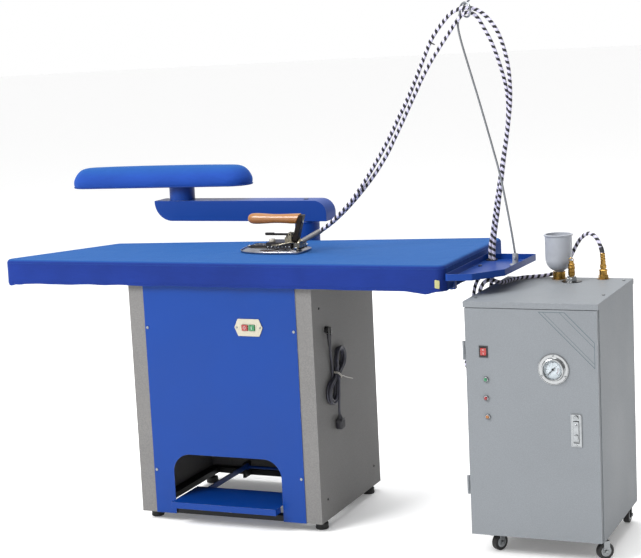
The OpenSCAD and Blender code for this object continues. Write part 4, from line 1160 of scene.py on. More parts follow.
@dataclass
class PaddedTop:
    """The padded ironing surface: a felt pad under a cotton cover that is drawn down over the box."""

    outline: tuple[Point, ...] = ((-782, -22), (750, -22), (750, 584), (-560, 379))
    corner: float = 28.0
    top: float = 850.0
    hem: float = 772.0
    edge: float = 11.0
    spacing: float = 11.0
    wave_mm: float = 2.4
    droops: tuple[tuple[float, float, float], ...] = ((690, 9.0, 24), (655, 3.5, 18), (-742, 7.0, 16),
        (-708, 3.0, 12))

    def __post_init__(self) -> None:
        """Draws the cover's outline, its outward directions and its running length."""
        plan = finely(rounded(self.outline, self.corner, 9), self.spacing)
        self.plan = [Vector(p) for p in plan]
        n = len(self.plan)
        self.out = []
        for i in range(n):
            way = self.plan[(i + 1) % n] - self.plan[i - 1]
            self.out.append(unit(Vector((way.y, -way.x))))
        self.runs = [0.0]
        for i in range(n):
            self.runs.append(self.runs[-1] + (self.plan[(i + 1) % n] - self.plan[i]).length)
        self.middle = sum(self.plan, Vector((0.0, 0.0))) / n

    def sway(self, i: int, height: float) -> tuple[float, float]:
        """Says how the cloth stands off the box at one place of the skirt.

        Args:
            i: number of the outline's point.
            height: height above the floor.

        Returns:
            How far it stands out, and how far it hangs lower.
        """
        low = max(0.0, min(1.0, (838 - height) / (838 - self.hem)))
        p = self.plan[i]
        near = min((p - Vector(c)).length for c in self.outline)
        gather = math.exp(-((near / 55) ** 2))
        wide = noise.noise(Vector((p.x / 75, p.y / 75, height / 240)))
        small = noise.noise(Vector((p.x / 24 + 7, p.y / 24, height / 60)))
        pull = noise.noise(Vector((p.x / 130 + height / 45, p.y / 130 - height / 45, 3.1)))
        pleat = math.sin(self.runs[i] / 5.5) * gather
        out = (self.wave_mm * wide + 0.8 * small + 1.7 * pleat) * low**1.2 + 1.1 * pull * math.sin(math.pi * low)
        drop = 2.2 * noise.noise(Vector((p.x / 60, p.y / 60, 9.0))) * low
        if self.out[i].y < -0.8:
            drop += sum(d * math.exp(-(((p.x - x) / w) ** 2)) for x, d, w in self.droops) * low**2
        return out + 0.25, drop

    def ring(self, inset: float, height: float, cloth: float) -> list[tuple[float, float, float]]:
        """Draws one level ring of the cover.

        Args:
            inset: distance inside the outline.
            height: height above the floor.
            cloth: how much of the cloth's sway it takes, 0 to 1.

        Returns:
            The ring's points.
        """
        points = []
        for i, (p, out) in enumerate(zip(self.plan, self.out)):
            stand, drop = self.sway(i, height)
            q = p + out * (stand * cloth - inset)
            points.append((q.x, q.y, height - drop * cloth))
        return points

    def crown(self, share: float) -> list[tuple[float, float, float]]:
        """Draws one ring of the level top.

        Args:
            share: size of the ring, 1 at the edge and 0 in the middle.

        Returns:
            The ring's points.
        """
        points = []
        for p, out in zip(self.plan, self.out):
            q = self.middle + (p - out * 24 - self.middle) * share
            dip = 0.7 + 0.7 * noise.noise(Vector((q.x / 85, q.y / 85, 1.7)))
            away = min(1.0, max(0.0, abs(q.x - 100) / 160 - 0.8) + max(0.0, abs(q.y - 190) / 100 - 1.0))
            points.append((q.x, q.y, self.top - dip * away * min(1.0, share * 4)))
        return points

    def build(self) -> None:
        """Makes the cover, its seam, its stitches and its sewn-in tag."""
        e = self.edge
        rings = [self.ring(6.5, 836, 0.0), self.ring(6.5, 790, 0.4), self.ring(6.0, 777, 1.0),
            self.ring(5.0, 773.6, 1.0),
                 self.ring(3.2, 772.2, 1.0), self.ring(1.2, 772.6, 1.0), self.ring(0.2, 774.4, 1.0),
                 self.ring(0.0, 777.5, 1.0),
                 self.ring(0.7, 779.4, 1.0), self.ring(0.0, 781.5, 1.0)]
        rings += [self.ring(0.0, h, 1.0) for h in (787, 794, 802, 810, 818, 825, 831, 836)]
        for k in range(1, 7):
            t = math.pi / 2 * k / 6
            rings.append(self.ring(e * (1 - math.cos(t)), self.top - e + e * math.sin(t) - 0.05, 0.0))
        rings.append(self.ring(17, self.top, 0.0))
        rings += [self.crown(s) for s in (1.0, 0.965, 0.92, 0.87, 0.81, 0.74, 0.66, 0.57, 0.47, 0.36, 0.25,
            0.13)]
        rings.append([(self.middle.x, self.middle.y, self.top)])
        cover = Shape().loft(rings).piece("table_cover_cloth", COVER_CLOTH, "stand", "blue_cover_cloth", 75)
        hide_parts("table_cover")
        self.stitches()
        self.seam()
        tag = Shape().slab(rounded([(722, 784), (737, 782), (738, 806), (723, 809)], 2, 3), 22.6, 24.0, 0.5,
            Axis.FRONT)
        tag.shift(lambda p: Vector((p.x, p.y + 0.9 * math.sin(p.z / 5), p.z)))
        tag.piece("cover_tag", TAG_PAPER, "stand", "blue_cover_cloth")

    def seam(self) -> None:
        """Sews the piping where the top meets the skirt."""
        path = [Vector(p) for p in self.ring(0.2, 838.6, 0.3)]
        Shape().tube([*path, path[0]], 1.0, 8).piece("cover_piping", PIPING, "stand", "blue_cover_cloth", 60)

    def stitches(self) -> None:
        """Sews a row of short stitches above the hem."""
        shape = Shape()
        n = len(self.plan)
        for i in range(n):
            j = (i + 1) % n
            for share in (0.0, 0.5):
                p, q = self.plan[i].lerp(self.plan[j], share), self.plan[i].lerp(self.plan[j], share + 0.32)
                stand, drop = self.sway(i, 779.4)
                then, fall = self.sway(j, 779.4)
                out = self.out[i]
                grow, sag = stand + (then - stand) * share, drop + (fall - drop) * share
                a, b = p + out * (grow - 0.3), q + out * (grow - 0.3)
                ends = []
                for c, size in ((a, 0.35), (a.lerp(b, 0.5), 0.75), (b, 0.35)):
                    z = 779.4 - sag
                    ends.append([(c.x - out.x, c.y - out.y, z - size),
                        (c.x + out.x * size, c.y + out.y * size, z - size),
                                 (c.x + out.x * size, c.y + out.y * size, z + size),
                                 (c.x - out.x, c.y - out.y, z + size)])
                shape.loft(ends)
        shape.piece("hem_stitches", PIPING, "stand", "blue_cover_cloth")


@dataclass
class Cabinet:
    """The sheet-steel cabinet with its vacuum blower, foot pedal and push buttons."""

    edges: dict[str, tuple[Finish, float]] = field(default_factory=lambda: {
        "left_side_panel": (SIDE_GREY, 0.8), "right_side_panel": (SIDE_GREY, 0.8),
        "front_panel": (ROYAL_BLUE, 0.7),
        "back_panel": (SIDE_GREY, 0.6), "base_frame": (FRAME_BLACK, 1.0), "levelling_feet": (FOOT_RUBBER, 1.5),
        "vacuum_box": (ZINC_SHEET, 0.6), "blower_housing": (FRAME_BLACK, 1.0), "impeller": (FAN_STEEL, 0.0),
        "blower_motor": (MOTOR_CAST, 1.5), "foot_pedal": (ROYAL_BLUE, 0.6), "pull_rod": (ZINC_BOLT, 0.5),
        "damper_flap": (FLAP_BRASS, 0.4), "switch_plate": (IVORY, 0.8), "start_button": (GREEN_CAP, 1.0),
        "stop_button": (RED_CAP, 1.0), "panel_screws": (ZINC_BOLT, 0.6), "cable_glands": (SWITCH_BLACK, 0.5),
    })

    def build(self) -> None:
        """Dresses the cabinet's parts and adds its small fittings."""
        for node, (finish, edge) in self.edges.items():
            dress(node, finish, edge)
        self.buttons()
        self.fittings()

    def buttons(self) -> None:
        """Adds the raised marks on the push buttons and the plate's screws."""
        Shape().slab(rounded([(113.1, 640.5), (114.9, 640.5), (114.9, 650.5), (113.1, 650.5)], 0.6, 3), 8.8,
            9.4, 0.2,
                     Axis.FRONT).piece("start_mark", MARK_WHITE, "start", "green_button")
        ring = [Vector((90 + 4 * math.cos(t), -9.1, 645.5 + 4 * math.sin(t))) for t in
                (2 * math.pi * k / 28 for k in range(29))]
        Shape().tube(ring, 0.6, 8).piece("stop_mark", MARK_WHITE, "stop", "red_button", 60)
        screws = Shape()
        for x in (62, 142):
            dome_screw(screws, (x, -5, 645.5), Axis.FRONT, 3.2)
        screws.piece("plate_screws", ZINC_BOLT, "stand", "zinc_screw")

    def fittings(self) -> None:
        """Adds the side fasteners, the feet's nuts and the screws at the back."""
        shape = Shape()
        for y in (54, 451):
            for z in (95, 700):
                dome_screw(shape, (316, y, z), Axis.X, 4.2)
                shape.lathe([(0, 0), (4.2, 0), (3.6, 1.6), (2, 2.4), (0, 2.6)], (-316, y, z),
                    Vector((-1, 0, 0)), 20)
        shape.piece("side_fasteners", SWITCH_BLACK, "stand", "zinc_screw")
        rings = Shape()
        for x in (-292, 292):
            for y in (54, 451):
                rings.lathe([(0, 20), (9.5, 20), (9.5, 26.5), (0, 26.5)], (x, y, 0), Axis.Z, 6)
                rings.lathe([(16, 3), (20.8, 3), (21.2, 5), (20.8, 7), (16, 7)], (x, y, 0), Axis.Z, 40)
        rings.piece("foot_nuts", FOOT_RUBBER, "stand", "foot_rubber")
        screws = Shape()
        for x in (-150, -60):
            for z in (120, 260):
                dome_screw(screws, (x, 507, z), Axis.Y, 4.0)
        screws.piece("back_screws", ZINC_BOLT, "stand", "zinc_screw")


def dome_screw(shape: Shape, base: Point, axis: Axis, radius: float) -> None:
    """Adds one round-headed screw with a hexagon socket.

    Args:
        shape: the shape it joins.
        base: the middle of the face it sits on.
        axis: the way its head faces.
        radius: radius of the head.
    """
    r = radius
    shape.lathe([(0, 0), (r, 0), (r, 0.18 * r), (0.92 * r, 0.36 * r), (0.66 * r, 0.52 * r),
        (0.45 * r, 0.56 * r),
                 (0.45 * r, 0.25 * r), (0, 0.22 * r)], base, axis, 24)


@dataclass
class SideTray:
    """The rimmed tray beside the top, with the hose pole in its socket."""

    wire: float = 3.2
    rise: tuple[Point, ...] = (
        (879, 278, 840), (874, 278, 880), (864, 278, 945), (852, 278, 1015), (838, 278, 1088),
        (820, 278, 1160), (799, 278, 1240), (776, 278, 1325), (752, 278, 1410), (731, 279, 1485),
        (721, 282, 1530), (722, 286, 1556),
    )
    ring_at: Point = (749, 278, 1582)
    ring_r: float = 22.0
    ring_turn: float = math.radians(55)

    def wire_route(self) -> list[Vector]:
        """Returns: the pole's middle line, up the pole and round its open ring to the tail."""
        across = Vector((math.sin(self.ring_turn), -math.cos(self.ring_turn), 0.0))
        axis = Vector((math.cos(self.ring_turn), math.sin(self.ring_turn), 0.0))
        loop = []
        for k in range(0, 431, 15):
            t = math.radians(200 - k)
            loop.append(Vector(self.ring_at) + self.ring_r * (math.cos(t) * across + Vector((0, 0,
                math.sin(t))))
                        + (k / 430 - 0.5) * 14 * axis)
        tail = [loop[-1] + d * (0.77 * across + Vector((0, 0, 0.42))) for d in (12, 24, 36)]
        return smooth_route([*self.rise, *loop, *tail], 5.0)

    def build(self) -> None:
        """Makes the pole and dresses the tray and its socket."""
        dress("side_tray", ROYAL_BLUE, 0.7)
        dress("pole_socket", SOCKET_GREY, 0.8)
        route = self.wire_route()
        sizes = [self.wire] * len(route)
        sizes[-1] = self.wire * 0.6
        pole = Shape().tube(route, sizes, 12).piece("hose_pole_wire", SPRING_WIRE, "stand", "spring_steel", 60)
        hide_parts("hose_pole")
        small = Shape()
        small.lathe([(0, 8), (4.2, 8), (4.6, 9), (4.6, 14), (3.8, 15.5), (0, 15.5)], (879, 278, 832),
            Axis.FRONT, 24)
        small.piece("pole_set_screw", SOCKET_GREY, "stand", "grey_socket_plastic")
        bolts = Shape()
        for y in (70, 250):
            for x in (715, 742):
                dome_screw(bolts, (x, y, 767), Axis.DOWN, 5.0)
            bolts.lathe([(0, 0), (6.5, 0), (6.5, 4), (0, 4)], (775, y, 807), Axis.Z, 6)
        bolts.piece("tray_bolts", ZINC_BOLT, "stand", "zinc_screw")
        Shape().lathe([(17.0, 0.2), (18.6, 0.2), (19.0, 1.0), (18.6, 3.6), (16.4, 3.6), (16.0, 1.0),
            (16.2, -1.6), (17.0, -1.6)],
                      (774, 374, 806), Axis.Z, 40).piece("tray_grommet", PLUG_PVC, "stand", "black_pvc")


@dataclass
class SleeveArm:
    """The swinging arm behind the table with the padded sleeve board on its post."""

    post: tuple[float, float] = (-397.0, 555.0)
    turn: float = math.radians(6)
    half_width: float = 70.0
    ends: tuple[float, float] = (-334.0, 190.0)
    foot: float = 1027.0
    voxel_mm: float = 5.0
    swell_mm: float = 5.0
    profile: tuple[Point, ...] = (
        (30, 2.0), (18, 0.8), (10, 0.2), (5, 1.6), (2.5, 6), (1, 13), (1, 21), (3.5, 30), (8, 39), (14, 48),
        (21.5, 56.5),
        (31, 63), (41, 66.6), (52, 68.4), (62, 69.0),
    )

    def ring(self, inset: float, height: float, wave: float = 0.0) -> list[tuple[float, float, float]]:
        """Draws one level ring of the sleeve board: straight sides and half-round ends.

        Args:
            inset: distance inside the board's outline.
            height: height above the board's underside.
            wave: depth of the small gathers round the hem.

        Returns:
            The ring's points.
        """
        points = []
        r = self.half_width - inset
        long = self.ends[1] - self.ends[0]
        for end, start, way in ((self.ends[1], -math.pi / 2, -1), (self.ends[0], math.pi / 2, 1)):
            points += [(end + r * math.cos(start + math.pi * k / 16), r * math.sin(start + math.pi * k / 16))
                for k in range(17)]
            points += [(end + way * long * k / 44, -way * r) for k in range(1, 44)]
        out = []
        c, s = math.cos(self.turn), math.sin(self.turn)
        for x, y in points:
            g = 1 + wave * math.sin((x + 1.7 * y) / 4.4) / max(20.0, r)
            out.append((self.post[0] + (x * c - y * s * g), self.post[1] + (x * s + y * c * g),
                self.foot + height))
        return out

    def build(self) -> None:
        """Makes the pad and dresses the arm."""
        dress("column_socket", ROYAL_BLUE, 1.5)
        dress("swing_arm", ROYAL_BLUE, 2.5)
        dress("buck_frame", ROYAL_BLUE, 0.0)
        self.pad()
        rim = [Vector(p) for p in self.ring(3.0, 3.4)]
        Shape().tube([*rim, rim[0]], 2.4, 10).piece("sleeve_pad_piping", PIPING, "buck", "blue_cover_cloth", 60)
        collar = Shape().lathe([(30, 0), (43.5, 0), (44.2, 0.2), (44.2, 0.4), (30, 0.4)], (*self.post, 979.2),
            Axis.Z, 64)
        collar.piece("post_washer", ZINC_BOLT, "buck", "royal_blue_paint")
        bolts = Shape()
        for x in (30, 114):
            for z in (610, 740):
                bolts.lathe([(0, 0), (7.5, 0), (7.5, 5), (0, 5)], (x, 519, z), Axis.Y, 6)
        bolts.piece("column_bolts", ZINC_BOLT, "stand", "zinc_screw")
        ring = Shape().lathe([(38.5, -2), (42.8, -2), (43.4, -1), (43.4, 3), (42.6, 4), (38.5, 4)],
            (72, 555, 903), Axis.Z, 64)
        ring.piece("column_collar", ROYAL_BLUE, "stand", "royal_blue_paint")
        plug = Shape().lathe([(0, 0), (9, 0), (9, 1.2), (6, 2.2), (0, 2.4)], (72, 555, 979), Axis.Z, 32)
        plug.piece("arm_cap", SWITCH_BLACK, "arm", "royal_blue_paint")

    def pad(self) -> None:
        """Makes the stuffed pad: lofted, then swelled as cloth over its stuffing."""
        rings = [self.ring(inset, height, 2.6 if inset > 9 and height < 3 else 0.0) for inset,
            height in self.profile]
        pad = Shape().loft(rings).piece("sleeve_pad", PAD_CLOTH, None, "blue_cover_cloth", 80)
        low = at((0, 0, self.foot + 9)).z
        inflate(pad, self.voxel_mm, self.swell_mm, lambda p: p.z < low)
        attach(pad, "buck")
        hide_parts("buck_cover")


def inflate(
    piece: bpy.types.Object, voxel_mm: float, cap_mm: float, held: Callable[[Vector], bool],
    pressure: float = 4.0, frames: int = 20,
) -> None:
    """Swells a closed pad as cloth under pressure and keeps the result.

    Args:
        piece: the pad.
        voxel_mm: size of its even mesh.
        cap_mm: how far a point may move.
        held: says which points stay where they are.
        pressure: how hard the stuffing pushes.
        frames: steps of the simulation.
    """
    scene = bpy.context.scene
    even = piece.modifiers.new("even", "REMESH")
    even.mode, even.voxel_size, even.use_smooth_shade = "VOXEL", voxel_mm * MM, True
    mesh = bpy.data.meshes.new_from_object(piece.evaluated_get(bpy.context.evaluated_depsgraph_get()))
    piece.modifiers.clear()
    mesh.materials.clear()
    mesh.materials.append(piece.data.materials[0])
    piece.data = mesh
    mesh.shade_smooth()
    rest = [v.co.copy() for v in mesh.vertices]
    group = piece.vertex_groups.new(name="held")
    group.add([i for i, p in enumerate(rest) if held(p)], 1.0, "REPLACE")
    cloth = piece.modifiers.new("cloth", "CLOTH")
    cloth.settings.use_pressure = True
    cloth.settings.uniform_pressure_force = pressure
    cloth.settings.vertex_group_mass = "held"
    cloth.settings.effector_weights.gravity = 0.0
    cloth.point_cache.frame_start, cloth.point_cache.frame_end = 1, frames
    for step in range(1, frames + 1):
        scene.frame_set(step)
    grown = piece.evaluated_get(bpy.context.evaluated_depsgraph_get()).to_mesh()
    for v, start, end in zip(mesh.vertices, rest, [w.co.copy() for w in grown.vertices]):
        move = end - start
        v.co = start + move * min(1.0, cap_mm * MM / max(move.length, 1e-9))
    piece.modifiers.remove(cloth)
    piece.vertex_groups.clear()
    scene.frame_set(1)
    soft = piece.modifiers.new("soft", "SUBSURF")
    soft.levels = soft.render_levels = 1
    LOG.info("%s: %d points after swelling", piece.name, len(mesh.vertices))


# ---------------------------------------------------------------- iron


@dataclass
class Iron:
    """The steam iron: polished sole, black body, beech handle, trigger, valve and steam pipes."""

    tip: float = -14.0
    length: float = 226.0
    width: float = 126.0
    middle: float = 215.0
    sole: float = 850.3
    grip: float = 957.0
    shoulder: float = 130.0
    heel: float = 216.0
    taper: float = 8.0
    cut_from: float = 130.0
    cut_run: float = 48.0
    knob_at: tuple[float, float] = (105.0, 197.0)
    flutes: int = 12

    def half(self, far: float) -> float:
        """Returns: half the sole's width at that distance from its tip."""
        wide = self.width / 2
        if far > self.shoulder:
            return wide - self.taper * (far - self.shoulder) / (self.length - self.shoulder)
        return wide * math.sqrt(max(0.0, 1 - (1 - far / self.shoulder) ** 2))

    def plan(self) -> list[Vector]:
        """Returns: the sole's outline, from its tip down the near side and back up the far one."""
        nose = [self.shoulder * (1 - math.cos(math.pi / 2 * k / 16)) for k in range(17)]
        fars = [*nose, 150, 175, 200, self.heel]
        near = [Vector((self.tip + f, self.middle - self.half(f))) for f in fars]
        far_side = [Vector((self.tip + f, self.middle + self.half(f))) for f in reversed(fars[1:])]
        back = self.tip + self.length
        heel = self.half(self.heel)
        corner = [Vector((back - 3, self.middle - heel + 3)), Vector((back, self.middle - heel + 12)),
                  Vector((back, self.middle + heel - 12)), Vector((back - 3, self.middle + heel - 3))]
        return [*near, *corner, *far_side]

    def shaped(self, plan: Sequence[Vector], steps: Sequence[Point]) -> list[list[Point]]:
        """Draws inset rings of the sole.

        Args:
            plan: its outline.
            steps: (inset, height) of each ring.

        Returns:
            The rings.
        """
        heart = Vector((self.tip + 0.62 * self.length, self.middle))
        rings = []
        for inset, height in steps:
            ring = []
            for i, p in enumerate(plan):
                way = plan[(i + 1) % len(plan)] - plan[i - 1]
                inward = unit(Vector((-way.y, way.x)))
                pull = unit(heart - p)
                q = p + (inward * 0.75 + pull * 0.35) * inset
                ring.append((q.x, q.y, height))
            rings.append(ring)
        return rings

    def build(self) -> None:
        """Makes the iron's pieces and dresses its parts."""
        dress("iron_body", IRON_BLACK, 1.6)
        dress("iron_bracket", BRACKET_STEEL, 1.2)
        dress("iron_trigger", BRACKET_STEEL, 0.8)
        dress("iron_valve", VALVE_METAL, 0.9)
        plan = self.plan()
        s = self.sole
        rings = self.shaped(plan, [(2.2, s), (0.6, s + 0.6), (0, s + 2), (0, s + 6.6), (0.5, s + 7.8),
            (3.0, s + 9.2),
                                   (9.0, s + 12.6), (14.0, s + 15.2), (16.5, s + 15.9), (19.0, s + 16.0)])
        sole = Shape().loft(rings).piece("iron_sole", SOLE_STEEL, "iron", "cast_sole", 30)
        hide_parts("iron_soleplate")
        cover = Shape().loft(self.shaped(plan,
            [(24, s + 15.8), (23.4, s + 17.2), (24.6, s + 18.2), (27, s + 18.4)]))
        cover.piece("iron_heat_guard", IRON_BLACK, "iron", "black_iron_plastic", 40)
        self.handle()
        self.knob()
        self.plumbing()
        self.screws()

    def handle(self) -> None:
        """Turns the handle; its right end is cut to lie against the slanted bracket."""
        profile = ((17, 0.0), (17.4, 4.0), (19, 8.6), (22.5, 12.6), (28, 15.4), (35, 16.9), (44, 17.4),
            (56, 17.3),
                   (72, 16.4), (90, 15.2), (108, 14.4), (126, 14.3), (142, 14.8), (156, 15.6), (168, 16.2),
                   (178, 16.4))
        rings: list[list[Point]] = []
        for x, r in profile:
            share = max(0.0, (x - self.cut_from) / self.cut_run)
            ring = []
            for j in range(36):
                t = 2 * math.pi * j / 36
                y, z = self.middle + 0.94 * r * math.cos(t), self.grip + r * math.sin(t)
                ring.append((x + share * (14.0 + (z - self.grip) * 0.5), y, z))
            rings.append(ring if r else [(x, self.middle, self.grip)])
        last = [(x + 1.4, self.middle + (y - self.middle) * 0.9, self.grip + (z - self.grip) * 0.9) for x, y,
            z in rings[-1]]
        handle = Shape().loft([*rings, last]).piece("iron_grip", BEECH, "iron", "handle_wood", 50)
        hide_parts("iron_handle")
        nut = Shape().lathe([(0, 0), (6, 0), (6, 3), (4.4, 3.6), (0, 4)], (204.5, self.middle, 948), Axis.X, 6)
        nut.piece("grip_nut", ZINC_BOLT, "iron", "iron_bracket_steel")

    def knob(self) -> None:
        """Makes the fluted steam knob on its stem."""
        x, y = self.knob_at
        count = 3 * self.flutes
        rings = []
        for r, h in ((9.2, 885.75), (10.6, 886.4), (10.8, 890.4), (10.4, 893.4), (9.2, 894.6)):
            ring = []
            for k in range(count):
                turn, reach = 2 * math.pi * k / count, r - 0.7 * (k % 3 == 0)
                ring.append((x + reach * math.cos(turn), y + reach * math.sin(turn), h))
            rings.append(ring)
        shape = Shape().loft(rings)
        shape.lathe([(0, 0), (2.9, 0), (2.9, 10), (0, 10)], (x, y, 876), Axis.Z, 20)
        shape.lathe([(0, 0), (3.4, 0), (3.0, 1.0), (0, 1.2)], (x, y, 894.4), Axis.Z, 20)
        knob = shape.piece("steam_knob", KNOB_CREAM, "knob", "knob_plastic", 50)
        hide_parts("iron_knob")

    def plumbing(self) -> None:
        """Adds the steam pipes, their nuts and the valve's bonnet."""
        pipes = Shape()
        near = smooth_route([(186, 193, 880), (178, 183, 884), (164, 174, 883), (146, 171, 880),
            (128, 173, 877), (112, 179, 876)], 3.0)
        far = smooth_route([(191, 243, 877), (180, 257, 880), (160, 264, 882), (130, 262, 880), (108, 255, 877),
            (98, 250, 876)], 3.0)
        top = smooth_route([(174, 221, 893), (166, 224, 905), (158, 226, 912), (150, 227, 907),
            (147, 226, 897)], 3.0)
        for route, r in ((near, 3.0), (far, 3.0), (top, 2.2)):
            pipes.tube(route, r, 14)
        pipes.piece("steam_pipes", VALVE_METAL, "iron", "valve_brass", 60)
        nuts = Shape()
        for base, r in (((191, 249, 876), 8.0), ((191, 188, 876), 6.4)):
            nuts.lathe([(0, 0), (r, 0), (r, 6), (r * 0.75, 8), (0, 8)], base, Axis.Y, 6)
        nuts.lathe([(0, 0), (7, 0), (7, 4), (5, 5.5), (4.4, 9), (0, 9.4)], (152, self.middle + 0.5, 897.6),
            Axis.Z, 6)
        way = unit(Vector((13, 4, 8)))
        nuts.lathe([(0, 0), (9.4, 0), (9.4, 9), (7.8, 11), (0, 11)], (197, 205.5, 881.5), way, 6)
        nuts.lathe([(0, 0), (8.2, 0), (8.2, 7), (7, 9), (0, 9)], (195.5, 227, 883), unit(Vector((13, 2, 8))), 6)
        nuts.piece("pipe_nuts", VALVE_METAL, "iron", "valve_brass", 25)

    def screws(self) -> None:
        """Adds the bright screws along the body and the ones that hold the sole."""
        row = Shape()
        for k in range(7):
            dome_screw(row, (98 + 12.4 * k, self.middle - 38, 871.5), Axis.FRONT, 2.3)
        for x, y in ((46, 199), (46, 231), (76, 196), (76, 234)):
            dome_screw(row, (x, y, 874.3), Axis.Z, 3.2)
        for x, y in ((14, 215), (196, 172), (196, 258)):
            row.lathe([(0, 0), (6, 0), (6, 4), (4.6, 5), (0, 5.4)], (x, y, 866.2), Axis.Z, 6)
        row.piece("iron_screws", GAUGE_STEEL, "iron", "valve_brass", 30)
        thumb = Shape().slab(rounded([(74, 207.5), (104, 207.5), (104, 222.5), (74, 222.5)], 4, 4), 909.6,
            911.8, 0.7)
        thumb.piece("trigger_pad", IRON_BLACK, "trigger", "iron_bracket_steel")


# ---------------------------------------------------------------- generator


@dataclass
class Generator:
    """The steam generator: painted case on castors, gauge, lamps, rocker, lock and brass fittings."""

    front: float = -79.0
    top: float = 757.0
    dial_turn: float = -135.0
    tick_turn: float = 9.0
    gauge: tuple[float, float] = (1087.0, 568.0)
    lamps: tuple[tuple[float, float], ...] = ((887, 531), (886, 476), (889, 421))
    edges: dict[str, tuple[Finish, float]] = field(default_factory=lambda: {
        "gen_base": (FRAME_BLACK, 0.6), "gen_shell": (CASE_GREY, 0.7), "gen_lid": (CASE_GREY, 0.7),
        "gen_door": (CASE_GREY, 0.9), "gauge_case": (GAUGE_STEEL, 0.7), "gauge_needle": (NEEDLE_BLACK, 0.0),
        "switch_and_lamp_bodies": (SWITCH_BLACK, 0.5), "rocker_switch": (ROCKER_RED, 0.8),
        "lock_plate": (LOCK_CHROME, 0.6), "lock_handle": (LOCK_CHROME, 0.8), "funnel": (FUNNEL_PP, 0.0),
        "brass_fittings": (TURNED_BRASS, 0.6), "boiler": (BOILER_STEEL, 0.6), "water_tank": (TANK_PP, 1.0),
        "feed_pump": (PUMP_BRONZE, 1.2), "castor_fork_left": (ZINC_BOLT, 0.6),
        "castor_fork_right": (ZINC_BOLT, 0.6),
        "wheel_front_left": (TYRE_RUBBER, 0.0), "wheel_front_right": (TYRE_RUBBER, 0.0),
        "wheel_rear_left": (TYRE_RUBBER, 0.0), "wheel_rear_right": (TYRE_RUBBER, 0.0),
    })

    def build(self) -> None:
        """Dresses the generator's parts and adds its fittings."""
        for node, (finish, edge) in self.edges.items():
            dress(node, finish, edge)
        self.dial()
        self.panel()
        self.band()
        self.brass()
        self.castors()

    def dial(self) -> None:
        """Makes the gauge's dial, its marks and numbers, the bezel and the clear cover."""
        x, z = self.gauge
        y = self.front
        face = Shape().lathe([(0, 0), (26.6, 0), (26.6, 0.5), (26.3, 0.7), (0, 0.7)], (x, y - 5, z), Axis.FRONT,
            64)
        face.piece("dial_face", DIAL_WHITE, "door", "gauge_steel")
        marks = Shape()
        for k in range(31):
            t = math.radians(self.dial_turn + self.tick_turn * k)
            long_mark = k % 5 == 0
            inner, outer, w = (17.6 if long_mark else 20.0), 23.0, (0.55 if long_mark else 0.3)
            way, side = Vector((math.sin(t), math.cos(t))), Vector((math.cos(t), -math.sin(t)))
            corners = [way * inner - side * w, way * inner + side * w, way * outer + side * w,
                way * outer - side * w]
            marks.loft([[(x + c.x, y - 5.6 - lift, z + c.y) for c in corners] for lift in (0.0, 0.35)])
        ring = [Vector((x + 23.2 * math.sin(t), y - 5.8, z + 23.2 * math.cos(t))) for t in
                (math.radians(self.dial_turn + self.tick_turn / 2 * k) for k in range(61))]
        marks.tube(ring, 0.28, 6)
        self.numbers(marks)
        marks.piece("dial_marks", DIAL_INK, "door", "gauge_steel")
        warn = [Vector((x + 15.0 * math.sin(t), y - 5.8, z + 15.0 * math.cos(t))) for t in
                (math.radians(72 + self.tick_turn / 2 * k) for k in range(15))]
        Shape().tube(warn, 0.5, 6).piece("dial_warning_arc", DIAL_RED, "door", "gauge_steel")
        bezel = [(27.2, 8.0), (27.2, 12.6), (28.2, 14.2), (30.2, 14.8), (32.2, 13.8), (33.0, 11.6), (33.0, 6.0),
                 (34.4, 4.4), (34.4, 2.6), (32.0, 2.4), (32.0, 8.0), (27.2, 8.0)]
        Shape().lathe(bezel, (x, y, z), Axis.FRONT, 72).piece("gauge_bezel", GAUGE_STEEL, "door", "gauge_steel")
        rim = [(42.0, 2.4), (43.4, 3.4), (44.6, 3.2), (45.2, 2.2), (45.2, 0.1), (42.0, 0.1), (42.0, 2.4)]
        Shape().lathe(rim, (x, y, z), Axis.FRONT, 72).piece("gauge_flange_rim", GAUGE_STEEL, "door",
            "gauge_steel")
        lens = Shape().lathe([(0, 11.2), (27.1, 10.6), (27.1, 11.6), (18, 12.4), (8, 12.8), (0, 12.9)],
            (x, y, z), Axis.FRONT, 64)
        lens.piece("gauge_cover", LENS, "door", "gauge_steel")
        bolts = Shape()
        for k in range(3):
            t = math.radians(90 + 120 * k)
            dome_screw(bolts, (x + 39 * math.cos(t), y - 2.4, z + 39 * math.sin(t)), Axis.FRONT, 2.6)
        bolts.piece("gauge_screws", ZINC_BOLT, "door", "zinc_screw")

    def numbers(self, marks: Shape) -> None:
        """Draws the dial's plain numbers.

        Args:
            marks: the shape they join.
        """
        x, z = self.gauge
        for k in range(7):
            t = math.radians(self.dial_turn + 45 * k)
            text = bpy.data.curves.new("number", "FONT")
            text.body, text.size, text.extrude, text.resolution_u = str(k), 5.2, 0.15, 3
            text.align_x, text.align_y = "CENTER", "CENTER"
            maker = bpy.data.objects.new("number", text)
            bpy.context.scene.collection.objects.link(maker)
            mesh = bpy.data.meshes.new_from_object(maker.evaluated_get(bpy.context.evaluated_depsgraph_get()))
            start = len(marks.points)
            cx, cz = x + 13.4 * math.sin(t), z + 13.4 * math.cos(t)
            marks.points += [Vector((cx + v.co.x, self.front - 5.8 - v.co.z, cz + v.co.y))
                for v in mesh.vertices]
            marks.faces += [tuple(start + i for i in p.vertices) for p in mesh.polygons]
            bpy.data.objects.remove(maker)
            bpy.data.meshes.remove(mesh)
            bpy.data.curves.remove(text)

